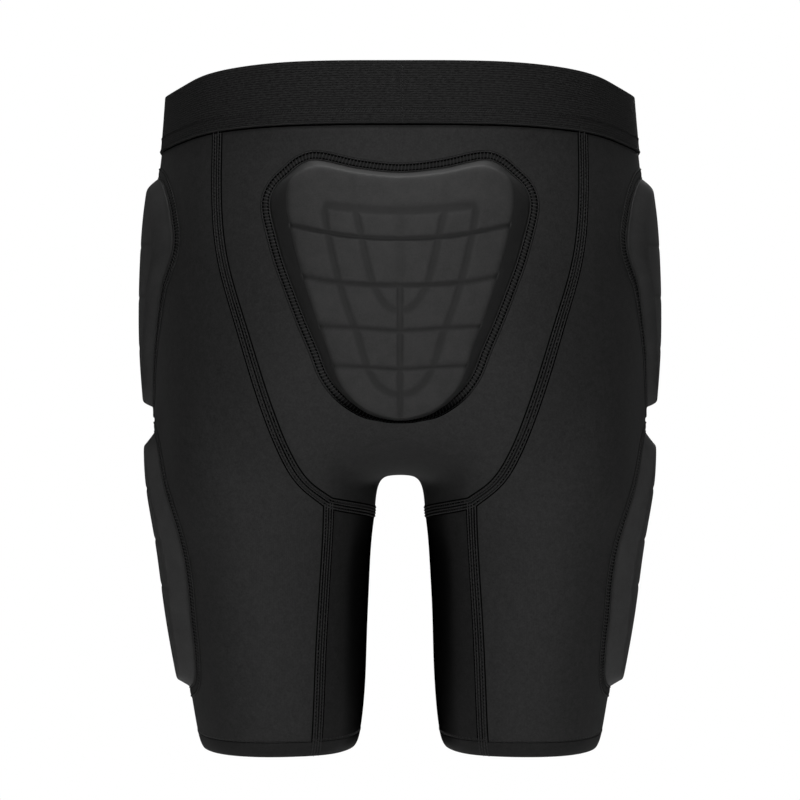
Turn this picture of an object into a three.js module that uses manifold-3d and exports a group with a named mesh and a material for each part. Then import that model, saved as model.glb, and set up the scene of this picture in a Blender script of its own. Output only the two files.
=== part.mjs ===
// Padded hip protection shorts: stretch shorts sewn from panels, with five moulded foam pads.
// Millimetres. +Z is up, +Y is the wearer's front and +X is the wearer's right.
// The origin is the middle of the waist opening, half way up the waistband at the side.
import * as THREE from 'three';
import { mergeVertices } from 'three/addons/utils/BufferGeometryUtils.js';
import Module from 'manifold-3d';

const wasm = await Module();
wasm.setup();

// Body of the shorts, as worn
const WAIST_WIDTH = 304;
const WAIST_DEPTH = 205;
const HIP_WIDTH = 317;
const HIP_DEPTH = 221;
const THIGH_WIDTH = 134;
const THIGH_DEPTH = 166;
const HEM_WIDTH = 96.4;
const HEM_DEPTH = 122;
const LEG_GAP = 32.5;
const RISE = 203; // foot of the waistband at the side, down to the crotch
const INSEAM = 172.5; // crotch down to the foot of the hem
const WAIST_RISE = 12.3; // how much higher the top of the waistband is at the back than at the side
const WAIST_FALL = 7; // and how much lower at the front
const WAIST_DIP = 5; // how far it dips between the side and the back
const BAND_RELAXED = 1.5; // how much lower its top lies at the side, where it leans inwards

// Cloth, waistband and hems
const CLOTH = 2;
const BAND_HEIGHT = 38;
const BAND_THICK = 3;
const BAND_PROUD = 0.8;
const HEM_HEIGHT = 9.5;
const HEM_THICK = 3;
const HEM_PROUD = 0.5;
const SEAM_GAP = 0.3;

// Moulded foam pads
const TAIL_WIDTH = 155;
const TAIL_HEIGHT = 156;
const TAIL_DROP = 12; // foot of the waistband at the side, down to the top of the tail pad
const TAIL_THICK = 8;
const HIP_PAD_WIDTH = 108;
const HIP_PAD_HEIGHT = 145;
const HIP_PAD_DROP = 15.5;
const HIP_PAD_THICK = 7;
const THIGH_PAD_WIDTH = 108;
const THIGH_PAD_HEIGHT = 164;
const THIGH_PAD_DROP = 176;
const THIGH_PAD_THICK = 7.5;
const PAD_EDGE = 1.6; // thickness of the pressed rim of each pad
const PAD_CROWN = 1.4; // how much thicker the middle is than the shoulder
const PAD_SEAT = 0.3; // gap that a pad keeps to the cloth below it
const GROOVE_DEPTH = 1.7;
const FINE_GROOVE = 3;
const LOOP_GROOVE = 4.4;
const BAR_GROOVE = 5.5;
const WALL_RUN = 8; // how far the sloped wall of a side pad runs inwards

// Levels worked out from the sizes above
const BAND_TOP = BAND_HEIGHT / 2;
const BAND_FOOT = -BAND_HEIGHT / 2;
const CROTCH = BAND_FOOT - RISE;
const HEM_FOOT = CROTCH - INSEAM;
const HEM_TOP = HEM_FOOT + HEM_HEIGHT;

// Rings of the body, from the top of the waistband down to the fork of the legs.
// z: height at the side. outer: half width. back, front: half depths. seam: x of the panel seam as
// a share of the half width. rise, fall, dip: shares of those of the waist. middle: x of the ring's
// own centre. sag: how much lower the seam lies than the side.
const BODY_RINGS = [
  { z: BAND_TOP - BAND_RELAXED, outer: 0.49 * WAIST_WIDTH, back: 0.498 * WAIST_DEPTH,
    front: 0.473 * WAIST_DEPTH, seam: 0.748, rise: 1, fall: 1, dip: 1, middle: 0, sag: 0 },
  { z: BAND_FOOT, outer: 0.5 * WAIST_WIDTH, back: 0.512 * WAIST_DEPTH, front: 0.488 * WAIST_DEPTH,
    seam: 0.734, rise: 0.78, fall: 1.27, dip: 0.6, middle: 0, sag: 0 },
  { z: BAND_FOOT - 0.187 * RISE, outer: 0.492 * HIP_WIDTH, back: 0.507 * HIP_DEPTH,
    front: 0.462 * HIP_DEPTH, seam: 0.715, rise: 0.7, fall: 1.08, dip: 0.3, middle: 0, sag: 0 },
  { z: BAND_FOOT - 0.374 * RISE, outer: 0.498 * HIP_WIDTH, back: 0.534 * HIP_DEPTH,
    front: 0.466 * HIP_DEPTH, seam: 0.68, rise: 0.52, fall: 0.77, dip: 0, middle: 0, sag: 0 },
  { z: BAND_FOOT - 0.557 * RISE, outer: 0.5 * HIP_WIDTH, back: 0.5385 * HIP_DEPTH,
    front: 0.457 * HIP_DEPTH, seam: 0.606, rise: 0.26, fall: 0.38, dip: 0, middle: 0, sag: 0 },
  { z: BAND_FOOT - 0.729 * RISE, outer: 0.497 * HIP_WIDTH, back: 0.507 * HIP_DEPTH,
    front: 0.43 * HIP_DEPTH, seam: 0.521, rise: 0, fall: 0, dip: 0, middle: 0.11 * HIP_WIDTH,
    sag: 0.034 * RISE },
  { z: BAND_FOOT - 0.892 * RISE, outer: 0.492 * HIP_WIDTH, back: 0.446 * HIP_DEPTH,
    front: 0.4 * HIP_DEPTH, seam: 0.41, rise: 0, fall: 0, dip: 0, middle: 0.215 * HIP_WIDTH,
    sag: 0.084 * RISE },
  { z: BAND_FOOT - 1.039 * RISE, outer: 0.486 * HIP_WIDTH, back: 0.414 * HIP_DEPTH,
    front: 0.385 * HIP_DEPTH, seam: 0.282, rise: 0, fall: 0, dip: 0, middle: 0.262 * HIP_WIDTH,
    sag: 0.037 * RISE },
];

// Middle line of the seat and the front, where the rings no longer close round the body.
// ring: row of BODY_RINGS. y: share of the half depth there. drop: below the waistband, as a share
// of the rise. arch: degrees by which the seam lies down the side of the arch.
const SEAT_LINE = [
  { ring: 5, y: 1.017, drop: 0.754, arch: 50 },
  { ring: 6, y: 1.03, drop: 0.892, arch: 35 },
  { ring: 7, y: 0.75, drop: 0.978, arch: 15 },
];
const FRONT_LINE = [
  { ring: 5, y: 0.98, drop: 0.768, arch: 50 },
  { ring: 6, y: 0.84, drop: 0.906, arch: 35 },
  { ring: 7, y: 0.57, drop: 0.975, arch: 15 },
];
// Gusset, from the back to the front. y, edgeY: middle and edge as shares of the half depth of the
// last body ring. edgeX: share of the leg gap. edgeDrop: below the crotch, as a share of the rise.
const GUSSET = [
  { y: -0.35, drop: 0.999, edgeX: 0.625, edgeY: -0.47, edgeDrop: 0.106, arch: 5 },
  { y: 0, drop: 1, edgeX: 0.495, edgeY: 0, edgeDrop: 0.12, arch: 0 },
  { y: 0.26, drop: 0.998, edgeX: 0.625, edgeY: 0.47, edgeDrop: 0.106, arch: 5 },
];

// Rings of a leg below the fork. drop: below the crotch, as a share of the inseam. hem: how far the
// width has gone from the thigh's to the hem's, and hemDeep the same of its depth. gap: inner side,
// as a share of half the leg gap. seam: x of the inner leg seam, as a share of the ring's half width
// inside its centre.
const LEG_RINGS = [
  { z: CROTCH - 0.267 * INSEAM, hem: 0.12, hemDeep: 0.03, gap: 1.13, seam: 0.59 },
  { z: CROTCH - 0.539 * INSEAM, hem: 0.36, hemDeep: 0.34, gap: 1.28, seam: 0.55 },
  { z: CROTCH - 0.771 * INSEAM, hem: 0.585, hemDeep: 0.557, gap: 1.37, seam: 0.51 },
  { z: HEM_TOP, hem: 0.81, hemDeep: 0.8, gap: 1.56, seam: 0.5 },
  { z: HEM_FOOT, hem: 1, hemDeep: 1, gap: 1.78, seam: 0.5 },
];

const BODY_ROUNDNESS = 2.3; // exponent of the body's sections, where 2 is an ellipse
const LEG_ROUNDNESS = 2.15;
const SEAT_ROUNDNESS = 2;
const FORK_ROUNDNESS = 3;
const LEG_BACK_SHARE = 0.51; // how much of a leg's depth lies behind its middle
const STRIP_FACES = 4; // faces across the back and front panels
const SIDE_FACES = 6; // faces across a side panel
const FIT_PASSES = 12;
const LAST_RING = BODY_RINGS.length - 1;

const radians = (degrees) => THREE.MathUtils.degToRad(degrees);
const lerp = THREE.MathUtils.lerp;

// Coordinate of a rounded section, from a cosine or sine and its half size.
function bulge(cosine, half, roundness) {
  return Math.sign(cosine) * half * Math.abs(cosine) ** (2 / roundness);
}

// Angle at which a rounded section reaches a share of its half width.
function angleAt(share, roundness) {
  const limited = THREE.MathUtils.clamp(share, -0.97, 0.97);
  return Math.acos(Math.sign(limited) * Math.abs(limited) ** (roundness / 2));
}

// Point of a body ring at an angle from the side, negative towards the back.
function bodyPoint(ring, angle) {
  const behind = angle < 0;
  const y = bulge(Math.sin(angle), behind ? ring.back : ring.front, BODY_ROUNDNESS);
  const x = ring.middle + bulge(Math.cos(angle), ring.outer - ring.middle, BODY_ROUNDNESS);
  const sag = ring.sag * (angle / seamAngle(ring)) ** 2;
  const lift = behind ? -ring.rise * WAIST_RISE : -ring.fall * WAIST_FALL;
  const dip = behind ? ring.dip * WAIST_DIP * Math.sin(4 * angle) * Math.cos(angle) ** 2 : 0;
  const z = ring.z + bulge(Math.sin(angle), lift, BODY_ROUNDNESS) - sag + dip;
  return new THREE.Vector3(x, y, z);
}

// Angle from the side to the panel seam on a body ring.
function seamAngle(ring) {
  return angleAt((ring.seam * ring.outer - ring.middle) / (ring.outer - ring.middle), BODY_ROUNDNESS);
}

// Point across the arch between the two seams, from the seam at one side and the middle.
function archPoint(seam, middle, arch, share, roundness) {
  const low = radians(arch);
  const angle = lerp(low, Math.PI / 2, share);
  const lowest = bulge(Math.sin(low), 1, roundness);
  const rise = (bulge(Math.sin(angle), 1, roundness) - lowest) / (1 - lowest);
  return new THREE.Vector3(
    (seam.x * bulge(Math.cos(angle), 1, roundness)) / bulge(Math.cos(low), 1, roundness),
    lerp(seam.y, middle.y, rise),
    lerp(seam.z, middle.z, rise),
  );
}

// Right half of each row of the middle strip, as points from the middle out to the seam, going down
// the back, through the crotch and up the front.
function stripRows() {
  const shares = spread(0, 1, STRIP_FACES / 2);
  const body = (number, side, line) => {
    const ring = BODY_RINGS[number];
    const seam = seamAngle(ring);
    const place = line.find((row) => row.ring === number);
    if (!place) {
      return shares.map((share) => bodyPoint(ring, side * lerp(Math.PI / 2, seam, share)));
    }
    const depth = side < 0 ? ring.back : ring.front;
    const middle = new THREE.Vector3(0, side * place.y * depth, BAND_FOOT - place.drop * RISE);
    const edge = bodyPoint(ring, side * seam);
    return shares.map((share) => archPoint(edge, middle, place.arch, 1 - share, SEAT_ROUNDNESS));
  };
  const gusset = GUSSET.map((row) => {
    const last = BODY_RINGS[LAST_RING];
    const depth = (last.back + last.front) / 2;
    const edge = new THREE.Vector3(row.edgeX * LEG_GAP, row.edgeY * depth, CROTCH - row.edgeDrop * RISE);
    const middle = new THREE.Vector3(0, row.y * depth, BAND_FOOT - row.drop * RISE);
    return shares.map((share) => archPoint(edge, middle, row.arch, 1 - share, FORK_ROUNDNESS));
  });
  const numbers = BODY_RINGS.map((_, i) => i);
  const back = numbers.map((i) => body(i, -1, SEAT_LINE));
  const front = numbers.map((i) => body(i, 1, FRONT_LINE)).reverse();
  return [...back, ...gusset, ...front];
}

// Point of a leg ring at an angle from its outer side, negative towards the back.
function legPoint(ring, angle) {
  const width = lerp(THIGH_WIDTH, HEM_WIDTH, ring.hem);
  const depth = lerp(THIGH_DEPTH, HEM_DEPTH, ring.hemDeep);
  const centre = (ring.gap * LEG_GAP) / 2 + width / 2;
  const behind = Math.sin(angle) < 0;
  const reach = depth * (behind ? LEG_BACK_SHARE : 1 - LEG_BACK_SHARE);
  return new THREE.Vector3(
    centre + bulge(Math.cos(angle), width / 2, LEG_ROUNDNESS),
    bulge(Math.sin(angle), reach, LEG_ROUNDNESS),
    ring.z,
  );
}

// A net of four-sided faces. Points that lie at the same place are welded.
class Net {
  constructor() {
    this.points = [];
    this.faces = [];
    this.places = new Map();
  }

  // Number of the vertex at a point.
  vertex(point) {
    const key = point.toArray().map((value) => Math.round(value * 100) || 0).join();
    if (!this.places.has(key)) {
      this.places.set(key, this.points.length);
      this.points.push(point);
    }
    return this.places.get(key);
  }

  // Faces between rows of points that run from left to right as seen from outside, top row first.
  addPatch(rows, panelOf) {
    const numbers = rows.map((row) => row.map((point) => this.vertex(point)));
    for (let r = 0; r + 1 < numbers.length; r++) {
      for (let c = 0; c + 1 < numbers[r].length; c++) {
        const corners = [numbers[r][c], numbers[r + 1][c], numbers[r + 1][c + 1], numbers[r][c + 1]];
        this.faces.push({ corners, panel: panelOf(r) });
      }
    }
  }
}

const mirrored = (point) => new THREE.Vector3(-point.x, point.y, point.z);

// Evenly spaced values from one to another, with both ends.
const spread = (from, to, steps) => Array.from({ length: steps + 1 }, (_, i) => lerp(from, to, i / steps));

// The whole shorts as a net whose vertices lie on the finished surface.
function shortsNet() {
  const net = new Net();
  const strip = stripRows();
  const last = strip.length - 1;
  const bandRow = (row) => row === 0;
  const backRows = LAST_RING + GUSSET.length; // the back panel takes in the gusset
  net.addPatch(
    strip.map((half) => [...half.slice(1).reverse().map(mirrored), ...half]),
    (row) => {
      if (bandRow(row) || row === last - 1) return 'waistband';
      return row < backRows ? 'back_panel' : 'front_panel';
    },
  );
  const side = BODY_RINGS.map((ring) => {
    const seam = seamAngle(ring);
    return spread(-seam, seam, SIDE_FACES).map((angle) => bodyPoint(ring, angle));
  });
  const edge = strip.slice(LAST_RING, last - LAST_RING + 1).map((half) => half.at(-1)).reverse();
  const inner = [edge];
  LEG_RINGS.forEach((ring) => {
    const seam = angleAt(-ring.seam, LEG_ROUNDNESS);
    side.push(spread(-seam, seam, SIDE_FACES).map((angle) => legPoint(ring, angle)));
    inner.push(spread(seam, 2 * Math.PI - seam, edge.length - 1).map((angle) => legPoint(ring, angle)));
  });
  const lastSide = side.length - 2;
  for (const hand of ['right', 'left']) {
    const place = (rows) => (hand === 'right' ? rows : rows.map((row) => row.map(mirrored).reverse()));
    const outerPanel = (row) => {
      if (bandRow(row)) return 'waistband';
      return row === lastSide ? `hem_${hand}` : `side_panel_${hand}`;
    };
    const innerPanel = (row) => (row === inner.length - 2 ? `hem_${hand}` : `inner_thigh_panel_${hand}`);
    net.addPatch(place(side), outerPanel);
    net.addPatch(place(inner), innerPanel);
  }
  return net;
}

// Neighbours of each vertex of a net: the faces, edges and border edges that meet there.
function neighbourhoods(net) {
  const around = net.points.map(() => ({ faces: [], edges: new Map() }));
  net.faces.forEach(({ corners }, face) => {
    corners.forEach((from, i) => {
      const to = corners[(i + 1) % 4];
      around[from].faces.push(face);
      for (const [a, b] of [[from, to], [to, from]]) {
        around[a].edges.set(b, (around[a].edges.get(b) ?? 0) + 1);
      }
    });
  });
  return around.map(({ faces, edges }) => ({
    faces,
    edges: [...edges.keys()],
    border: [...edges].filter(([, uses]) => uses === 1).map(([other]) => other),
  }));
}

const sum = (points) => points.reduce((total, point) => total.add(point), new THREE.Vector3());

// Where each vertex comes to lie when the net is rounded without end.
function settled(net, around) {
  const { points, faces } = net;
  return points.map((point, i) => {
    const { border, edges } = around[i];
    if (border.length) {
      return sum(border.map((other) => points[other])).addScaledVector(point, 4).divideScalar(6);
    }
    const n = edges.length;
    const opposite = around[i].faces.map((f) => {
      const { corners } = faces[f];
      return points[corners[(corners.indexOf(i) + 2) % 4]];
    });
    return sum(edges.map((other) => points[other]))
      .multiplyScalar(4)
      .add(sum(opposite))
      .addScaledVector(point, n * n)
      .divideScalar(n * (n + 5));
  });
}

// Moves the vertices so that the rounded surface passes through where they were.
function fitNet(net) {
  const targets = net.points;
  const around = neighbourhoods(net);
  net.points = targets.map((point) => point.clone());
  for (let pass = 0; pass < FIT_PASSES; pass++) {
    settled(net, around).forEach((limit, i) => net.points[i].add(targets[i]).sub(limit));
  }
}

// One round of subdivision: every face becomes four and the corners are rounded.
function subdivided(net) {
  const { points, faces } = net;
  const around = neighbourhoods(net);
  const fine = { points: [], faces: [] };
  const centres = faces.map(({ corners }) => sum(corners.map((i) => points[i])).divideScalar(4));
  const edges = new Map();
  const edgeKey = (a, b) => `${Math.min(a, b)},${Math.max(a, b)}`;
  faces.forEach(({ corners }, f) => {
    corners.forEach((a, i) => {
      const b = corners[(i + 1) % 4];
      const edge = edges.get(edgeKey(a, b)) ?? { ends: [a, b], faces: [] };
      edge.faces.push(f);
      edges.set(edgeKey(a, b), edge);
    });
  });
  for (const edge of edges.values()) {
    edge.middle = sum(edge.ends.map((i) => points[i])).divideScalar(2);
    edge.border = edge.faces.length === 1;
  }
  points.forEach((point, i) => {
    const touching = around[i].edges.map((other) => edges.get(edgeKey(i, other)));
    const rim = touching.filter((edge) => edge.border);
    if (rim.length) {
      fine.points.push(sum(rim.map((edge) => edge.middle)).addScaledVector(point, 2).divideScalar(4));
      return;
    }
    const n = touching.length;
    const faceMean = sum(around[i].faces.map((f) => centres[f])).divideScalar(n);
    const edgeMean = sum(touching.map((edge) => edge.middle)).divideScalar(n);
    fine.points.push(faceMean.addScaledVector(edgeMean, 2).addScaledVector(point, n - 3).divideScalar(n));
  });
  for (const edge of edges.values()) {
    edge.number = fine.points.length;
    const between = sum(edge.faces.map((f) => centres[f])).divideScalar(2);
    fine.points.push(edge.border ? edge.middle : edge.middle.clone().add(between).divideScalar(2));
  }
  faces.forEach(({ corners, panel }, f) => {
    const centre = fine.points.length;
    fine.points.push(centres[f]);
    corners.forEach((corner, i) => {
      const next = edges.get(edgeKey(corner, corners[(i + 1) % 4])).number;
      const before = edges.get(edgeKey(corners[(i + 3) % 4], corner)).number;
      fine.faces.push({ corners: [corner, next, centre, before], panel });
    });
  });
  return fine;
}

// Outward direction at each vertex of a net.
function normalsOf({ points, faces }) {
  const normals = points.map(() => new THREE.Vector3());
  for (const { corners } of faces) {
    const [a, b, c, d] = corners.map((i) => points[i]);
    const across = c.clone().sub(a).cross(d.clone().sub(b));
    corners.forEach((i) => normals[i].add(across));
  }
  return normals.map((normal) => normal.normalize());
}

// The finished outer surface of the shorts, with its normals and the panel of each face.
function shortsSurface() {
  const net = shortsNet();
  fitNet(net);
  const fine = subdivided(net);
  fine.points = settled(fine, neighbourhoods(fine));
  fine.normals = normalsOf(fine);
  return fine;
}

// Border of a set of faces, as a map from each border vertex to the next.
function borderOf(faces) {
  const next = new Map();
  const sides = ({ corners }) => corners.map((a, i) => `${a},${corners[(i + 1) % 4]}`);
  const used = new Set(faces.flatMap(sides));
  for (const { corners } of faces) {
    corners.forEach((a, i) => {
      const b = corners[(i + 1) % 4];
      if (!used.has(`${b},${a}`)) next.set(a, b);
    });
  }
  return next;
}

const trianglesOf = ([a, b, c, d]) => [a, b, c, a, c, d];

// Two triangles for a four-sided face, split along its shorter diagonal.
function facetsOf(corners, points) {
  const [a, b, c, d] = corners;
  const straight = points[a].distanceTo(points[c]) <= points[b].distanceTo(points[d]);
  return trianglesOf(straight ? corners : [b, c, d, a]);
}

function geometryOf(points, triangles) {
  const geometry = new THREE.BufferGeometry();
  const coordinates = points.flatMap((point) => point.toArray());
  geometry.setAttribute('position', new THREE.Float32BufferAttribute(coordinates, 3));
  geometry.setIndex(triangles);
  geometry.computeVertexNormals();
  return geometry;
}

// One sewn panel as a wall between an outer and an inner copy of its faces.
function panelGeometry(surface, panel, proud, thick) {
  const faces = surface.faces.filter((face) => face.panel === panel);
  const next = borderOf(faces);
  const previous = new Map([...next].map(([a, b]) => [b, a]));
  const open = borderOf(surface.faces);
  const numbers = [...new Set(faces.flatMap(({ corners }) => corners))];
  const local = new Map(numbers.map((number, i) => [number, i]));
  // Direction into the panel from the border edge that starts at a vertex, or none at an open rim.
  const inward = (from, to, normal) => {
    if (open.get(from) === to) return null;
    const along = surface.points[to].clone().sub(surface.points[from]);
    return normal.clone().cross(along).normalize();
  };
  const placed = numbers.map((number) => {
    const point = surface.points[number].clone();
    if (!next.has(number)) return point;
    const normal = surface.normals[number];
    const sides = [inward(previous.get(number), number, normal), inward(number, next.get(number), normal)];
    const pulls = sides.filter(Boolean);
    const corner = pulls.length === 2 ? 1 + pulls[0].dot(pulls[1]) : 1;
    return point.addScaledVector(sum(pulls.map((pull) => pull.clone())), SEAM_GAP / 2 / corner);
  });
  const shifted = (distance) =>
    placed.map((point, i) => point.clone().addScaledVector(surface.normals[numbers[i]], distance));
  const outer = faces.flatMap(({ corners }) => facetsOf(corners, surface.points)).map((i) => local.get(i));
  const inner = outer.map((i) => i + placed.length).reverse();
  // Two panels that meet split their rims along the same diagonals, so that the gap stays even.
  const rim = [...next].flatMap(([a, b]) => {
    const [from, to] = [local.get(a), local.get(b)];
    const [deepFrom, deepTo] = [from + placed.length, to + placed.length];
    return trianglesOf(a < b ? [from, deepFrom, deepTo, to] : [to, from, deepFrom, deepTo]);
  });
  return geometryOf([...shifted(proud), ...shifted(proud - thick)], [...outer, ...inner, ...rim]);
}

// Closed solid that fills the whole shorts out to a distance past the cloth.
function filledBody(surface, distance) {
  const moved = (point, i) => point.clone().addScaledVector(surface.normals[i], distance);
  const points = surface.points.map(moved);
  const triangles = surface.faces.flatMap(({ corners }) => facetsOf(corners, surface.points));
  const next = borderOf(surface.faces);
  const left = new Set(next.keys());
  while (left.size) {
    const loop = [];
    for (let at = left.values().next().value; left.delete(at); at = next.get(at)) loop.push(at);
    const centre = points.length;
    points.push(sum(loop.map((i) => points[i])).divideScalar(loop.length));
    loop.forEach((a) => triangles.push(next.get(a), a, centre));
  }
  return geometryOf(points, triangles);
}

function solidOf(geometry) {
  const bare = geometry.clone();
  bare.deleteAttribute('normal');
  bare.deleteAttribute('uv');
  const merged = mergeVertices(bare, 1e-4);
  const vertProperties = new Float32Array(merged.attributes.position.array);
  const triVerts = new Uint32Array(merged.index.array);
  return new wasm.Manifold(new wasm.Mesh({ numProp: 3, vertProperties, triVerts }));
}

function geometryOfSolid(solid) {
  const { vertProperties, triVerts } = solid.getMesh();
  const geometry = new THREE.BufferGeometry();
  geometry.setAttribute('position', new THREE.BufferAttribute(vertProperties, 3));
  geometry.setIndex(new THREE.BufferAttribute(triVerts, 1));
  geometry.computeVertexNormals();
  return geometry;
}

const AIM_PASSES = 4; // tries at hitting a spot that a view sees exactly

// Views in which a pad's outline is drawn: u and v are the two lengths seen, and ray looks inwards.
const FAR = 10 * HIP_WIDTH;
const FROM_BEHIND = {
  point: (u, v) => new THREE.Vector3(u, -FAR, v),
  inwards: new THREE.Vector3(0, 1, 0),
  flat: (point) => new THREE.Vector2(point.x, point.z),
};
const FROM_RIGHT = {
  point: (u, v) => new THREE.Vector3(FAR, u, v),
  inwards: new THREE.Vector3(-1, 0, 0),
  flat: (point) => new THREE.Vector2(point.y, point.z),
};

// First point of a mesh that a view sees at u, v, with the surface's normal there.
function seen(mesh, view, spot) {
  const caster = new THREE.Raycaster(view.point(spot.x, spot.y), view.inwards);
  const [hit] = caster.intersectObject(mesh);
  if (!hit) throw new Error(`nothing to carry a pad at ${spot.x.toFixed(1)}, ${spot.y.toFixed(1)}`);
  return { point: hit.point, normal: hit.normal.clone().normalize() };
}

// Point at a height above a mesh that a view sees exactly at u, v.
function raised(mesh, view, spot, height) {
  const aim = spot.clone();
  let found;
  for (let pass = 0; pass < AIM_PASSES; pass++) {
    const { point, normal } = seen(mesh, view, aim);
    found = point.addScaledVector(normal, height);
    aim.add(spot).sub(view.flat(found));
  }
  return found;
}

// Closed outline through points, sampled evenly by its parameter.
function sampled(points, count) {
  const curve = new THREE.SplineCurve([...points, points[0]]);
  return Array.from({ length: count }, (_, i) => curve.getPoint(i / count));
}

const GROOVE_BED = 0.4; // width of a groove's bed, as a share of its width
const GROOVE_FLARE = 0.8; // how much wider its cutter is at the top
const CUTTER_RISE = 4; // height of the cutter above the face
const PAD_POINTS = 30; // points round a pad's outline
const PAD_INNER_LOOPS = [0.92, 0.55]; // loops inside the shoulder, as shares of its size
const WALL_MIDDLE = { in: 0.55, up: 0.62 }; // where a wall's middle lies between rim and shoulder
const PAD_SUNK = -2.5; // how deep a pad starts below the cloth, before the cloth's shape is cut away

// A moulded pad before its grooves: a pressed rim, a sloped wall, a shoulder and a crowned face.
function padGeometry(body, pad) {
  const base = sampled(pad.base, PAD_POINTS);
  const face = sampled(pad.face, PAD_POINTS);
  const middle = sum(face.map(({ x, y }) => new THREE.Vector3(x, y, 0))).divideScalar(PAD_POINTS);
  const centre = new THREE.Vector2(middle.x, middle.y);
  const loop = (spots, height) => spots.map((spot) => raised(body, pad.view, spot, height));
  const between = (share) => base.map((spot, i) => spot.clone().lerp(face[i], share));
  const rings = [
    loop(base, PAD_SUNK),
    loop(base, PAD_EDGE),
    loop(between(WALL_MIDDLE.in), lerp(PAD_EDGE, pad.thick, WALL_MIDDLE.up)),
    loop(face, pad.thick),
    ...PAD_INNER_LOOPS.map((share) => {
      const height = pad.thick + PAD_CROWN * (1 - share ** 2);
      return loop(face.map((spot) => centre.clone().lerp(spot, share)), height);
    }),
  ];
  const points = rings.flat();
  const top = points.push(raised(body, pad.view, centre, pad.thick + PAD_CROWN)) - 1;
  const bottom = points.push(raised(body, pad.view, centre, PAD_SUNK)) - 1;
  const triangles = [];
  const at = (ring, i) => ring * PAD_POINTS + (i % PAD_POINTS);
  for (let i = 0; i < PAD_POINTS; i++) {
    for (let ring = 0; ring + 1 < rings.length; ring++) {
      triangles.push(...trianglesOf([at(ring, i), at(ring + 1, i), at(ring + 1, i + 1), at(ring, i + 1)]));
    }
    triangles.push(at(rings.length - 1, i + 1), at(rings.length - 1, i), top);
    triangles.push(at(0, i), at(0, i + 1), bottom);
  }
  return geometryOf(points, triangles);
}

// Cutter along a route on a pad's face: a bed as deep as the groove, sides that widen to the
// groove's width at the face, and a top well above it.
function grooveSolid(padMesh, view, { route, width, steps }) {
  const flat = new THREE.SplineCurve(route);
  const places = flat.getPoints(steps).map((spot) => seen(padMesh, view, spot));
  const section = [
    [-GROOVE_BED, -GROOVE_DEPTH],
    [GROOVE_BED, -GROOVE_DEPTH],
    [1 + GROOVE_FLARE, CUTTER_RISE],
    [-1 - GROOVE_FLARE, CUTTER_RISE],
  ];
  const rings = places.map(({ point, normal }, i) => {
    const before = places[Math.max(0, i - 1)].point;
    const after = places[Math.min(places.length - 1, i + 1)].point;
    const aside = after.clone().sub(before).cross(normal).normalize();
    return section.map(([share, height]) =>
      point.clone().addScaledVector(aside, (share * width) / 2).addScaledVector(normal, height),
    );
  });
  const at = (ring, i) => ring * section.length + (i % section.length);
  const last = rings.length - 1;
  const triangles = [...trianglesOf([0, 1, 2, 3]), ...trianglesOf([3, 2, 1, 0].map((i) => at(last, i)))];
  for (let ring = 0; ring < last; ring++) {
    section.forEach((_, i) => {
      triangles.push(...trianglesOf([at(ring, i + 1), at(ring, i), at(ring + 1, i), at(ring + 1, i + 1)]));
    });
  }
  return solidOf(geometryOf(rings.flat(), triangles));
}

// A finished pad: its grooves cut in, and its back shaped to the cloth that it is sewn to.
function finishedPad(body, filled, pad) {
  const raw = padGeometry(body, pad);
  const rawMesh = new THREE.Mesh(raw);
  let solid = solidOf(raw).subtract(filled);
  for (const groove of pad.grooves) solid = solid.subtract(grooveSolid(rawMesh, pad.view, groove));
  return geometryOfSolid(solid);
}

// Outline of a pad from the right half of a table, closed by its mirror image.
// Each row holds shares of the pad's half width and of its height down from the top.
function outline(rows, width, height, top) {
  const right = rows.map(([x, down]) => new THREE.Vector2((x * width) / 2, top - down * height));
  const left = right.filter(({ x }) => x > 0).map(({ x, y }) => new THREE.Vector2(-x, y)).reverse();
  return [...right, ...left];
}

const TAIL_TOP = BAND_FOOT - TAIL_DROP;
const HIP_PAD_TOP = BAND_FOOT - HIP_PAD_DROP;
const THIGH_PAD_TOP = BAND_FOOT - THIGH_PAD_DROP;

// Outlines of the tail pad. baseX, baseDown: sewn edge. faceX, faceDown: shoulder of the raised face.
// X is a share of half the width and down a share of the height.
const TAIL_OUTLINE = [
  { baseX: 0, baseDown: 0.05, faceX: 0, faceDown: 0.065 },
  { baseX: 0.33, baseDown: 0.033, faceX: 0.3, faceDown: 0.052 },
  { baseX: 0.63, baseDown: 0, faceX: 0.585, faceDown: 0.023 },
  { baseX: 0.76, baseDown: 0.013, faceX: 0.7, faceDown: 0.027 },
  { baseX: 0.87, baseDown: 0.057, faceX: 0.78, faceDown: 0.045 },
  { baseX: 0.955, baseDown: 0.098, faceX: 0.845, faceDown: 0.073 },
  { baseX: 1, baseDown: 0.145, faceX: 0.877, faceDown: 0.12 },
  { baseX: 1, baseDown: 0.195, faceX: 0.877, faceDown: 0.185 },
  { baseX: 0.968, baseDown: 0.265, faceX: 0.853, faceDown: 0.245 },
  { baseX: 0.9, baseDown: 0.385, faceX: 0.81, faceDown: 0.345 },
  { baseX: 0.815, baseDown: 0.5, faceX: 0.73, faceDown: 0.48 },
  { baseX: 0.725, baseDown: 0.615, faceX: 0.65, faceDown: 0.6 },
  { baseX: 0.63, baseDown: 0.725, faceX: 0.56, faceDown: 0.72 },
  { baseX: 0.545, baseDown: 0.83, faceX: 0.475, faceDown: 0.845 },
  { baseX: 0.423, baseDown: 0.91, faceX: 0.36, faceDown: 0.92 },
  { baseX: 0.26, baseDown: 0.97, faceX: 0.245, faceDown: 0.962 },
  { baseX: 0.115, baseDown: 0.994, faceX: 0.105, faceDown: 0.986 },
  { baseX: 0, baseDown: 1, faceX: 0, faceDown: 0.993 },
];

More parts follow.
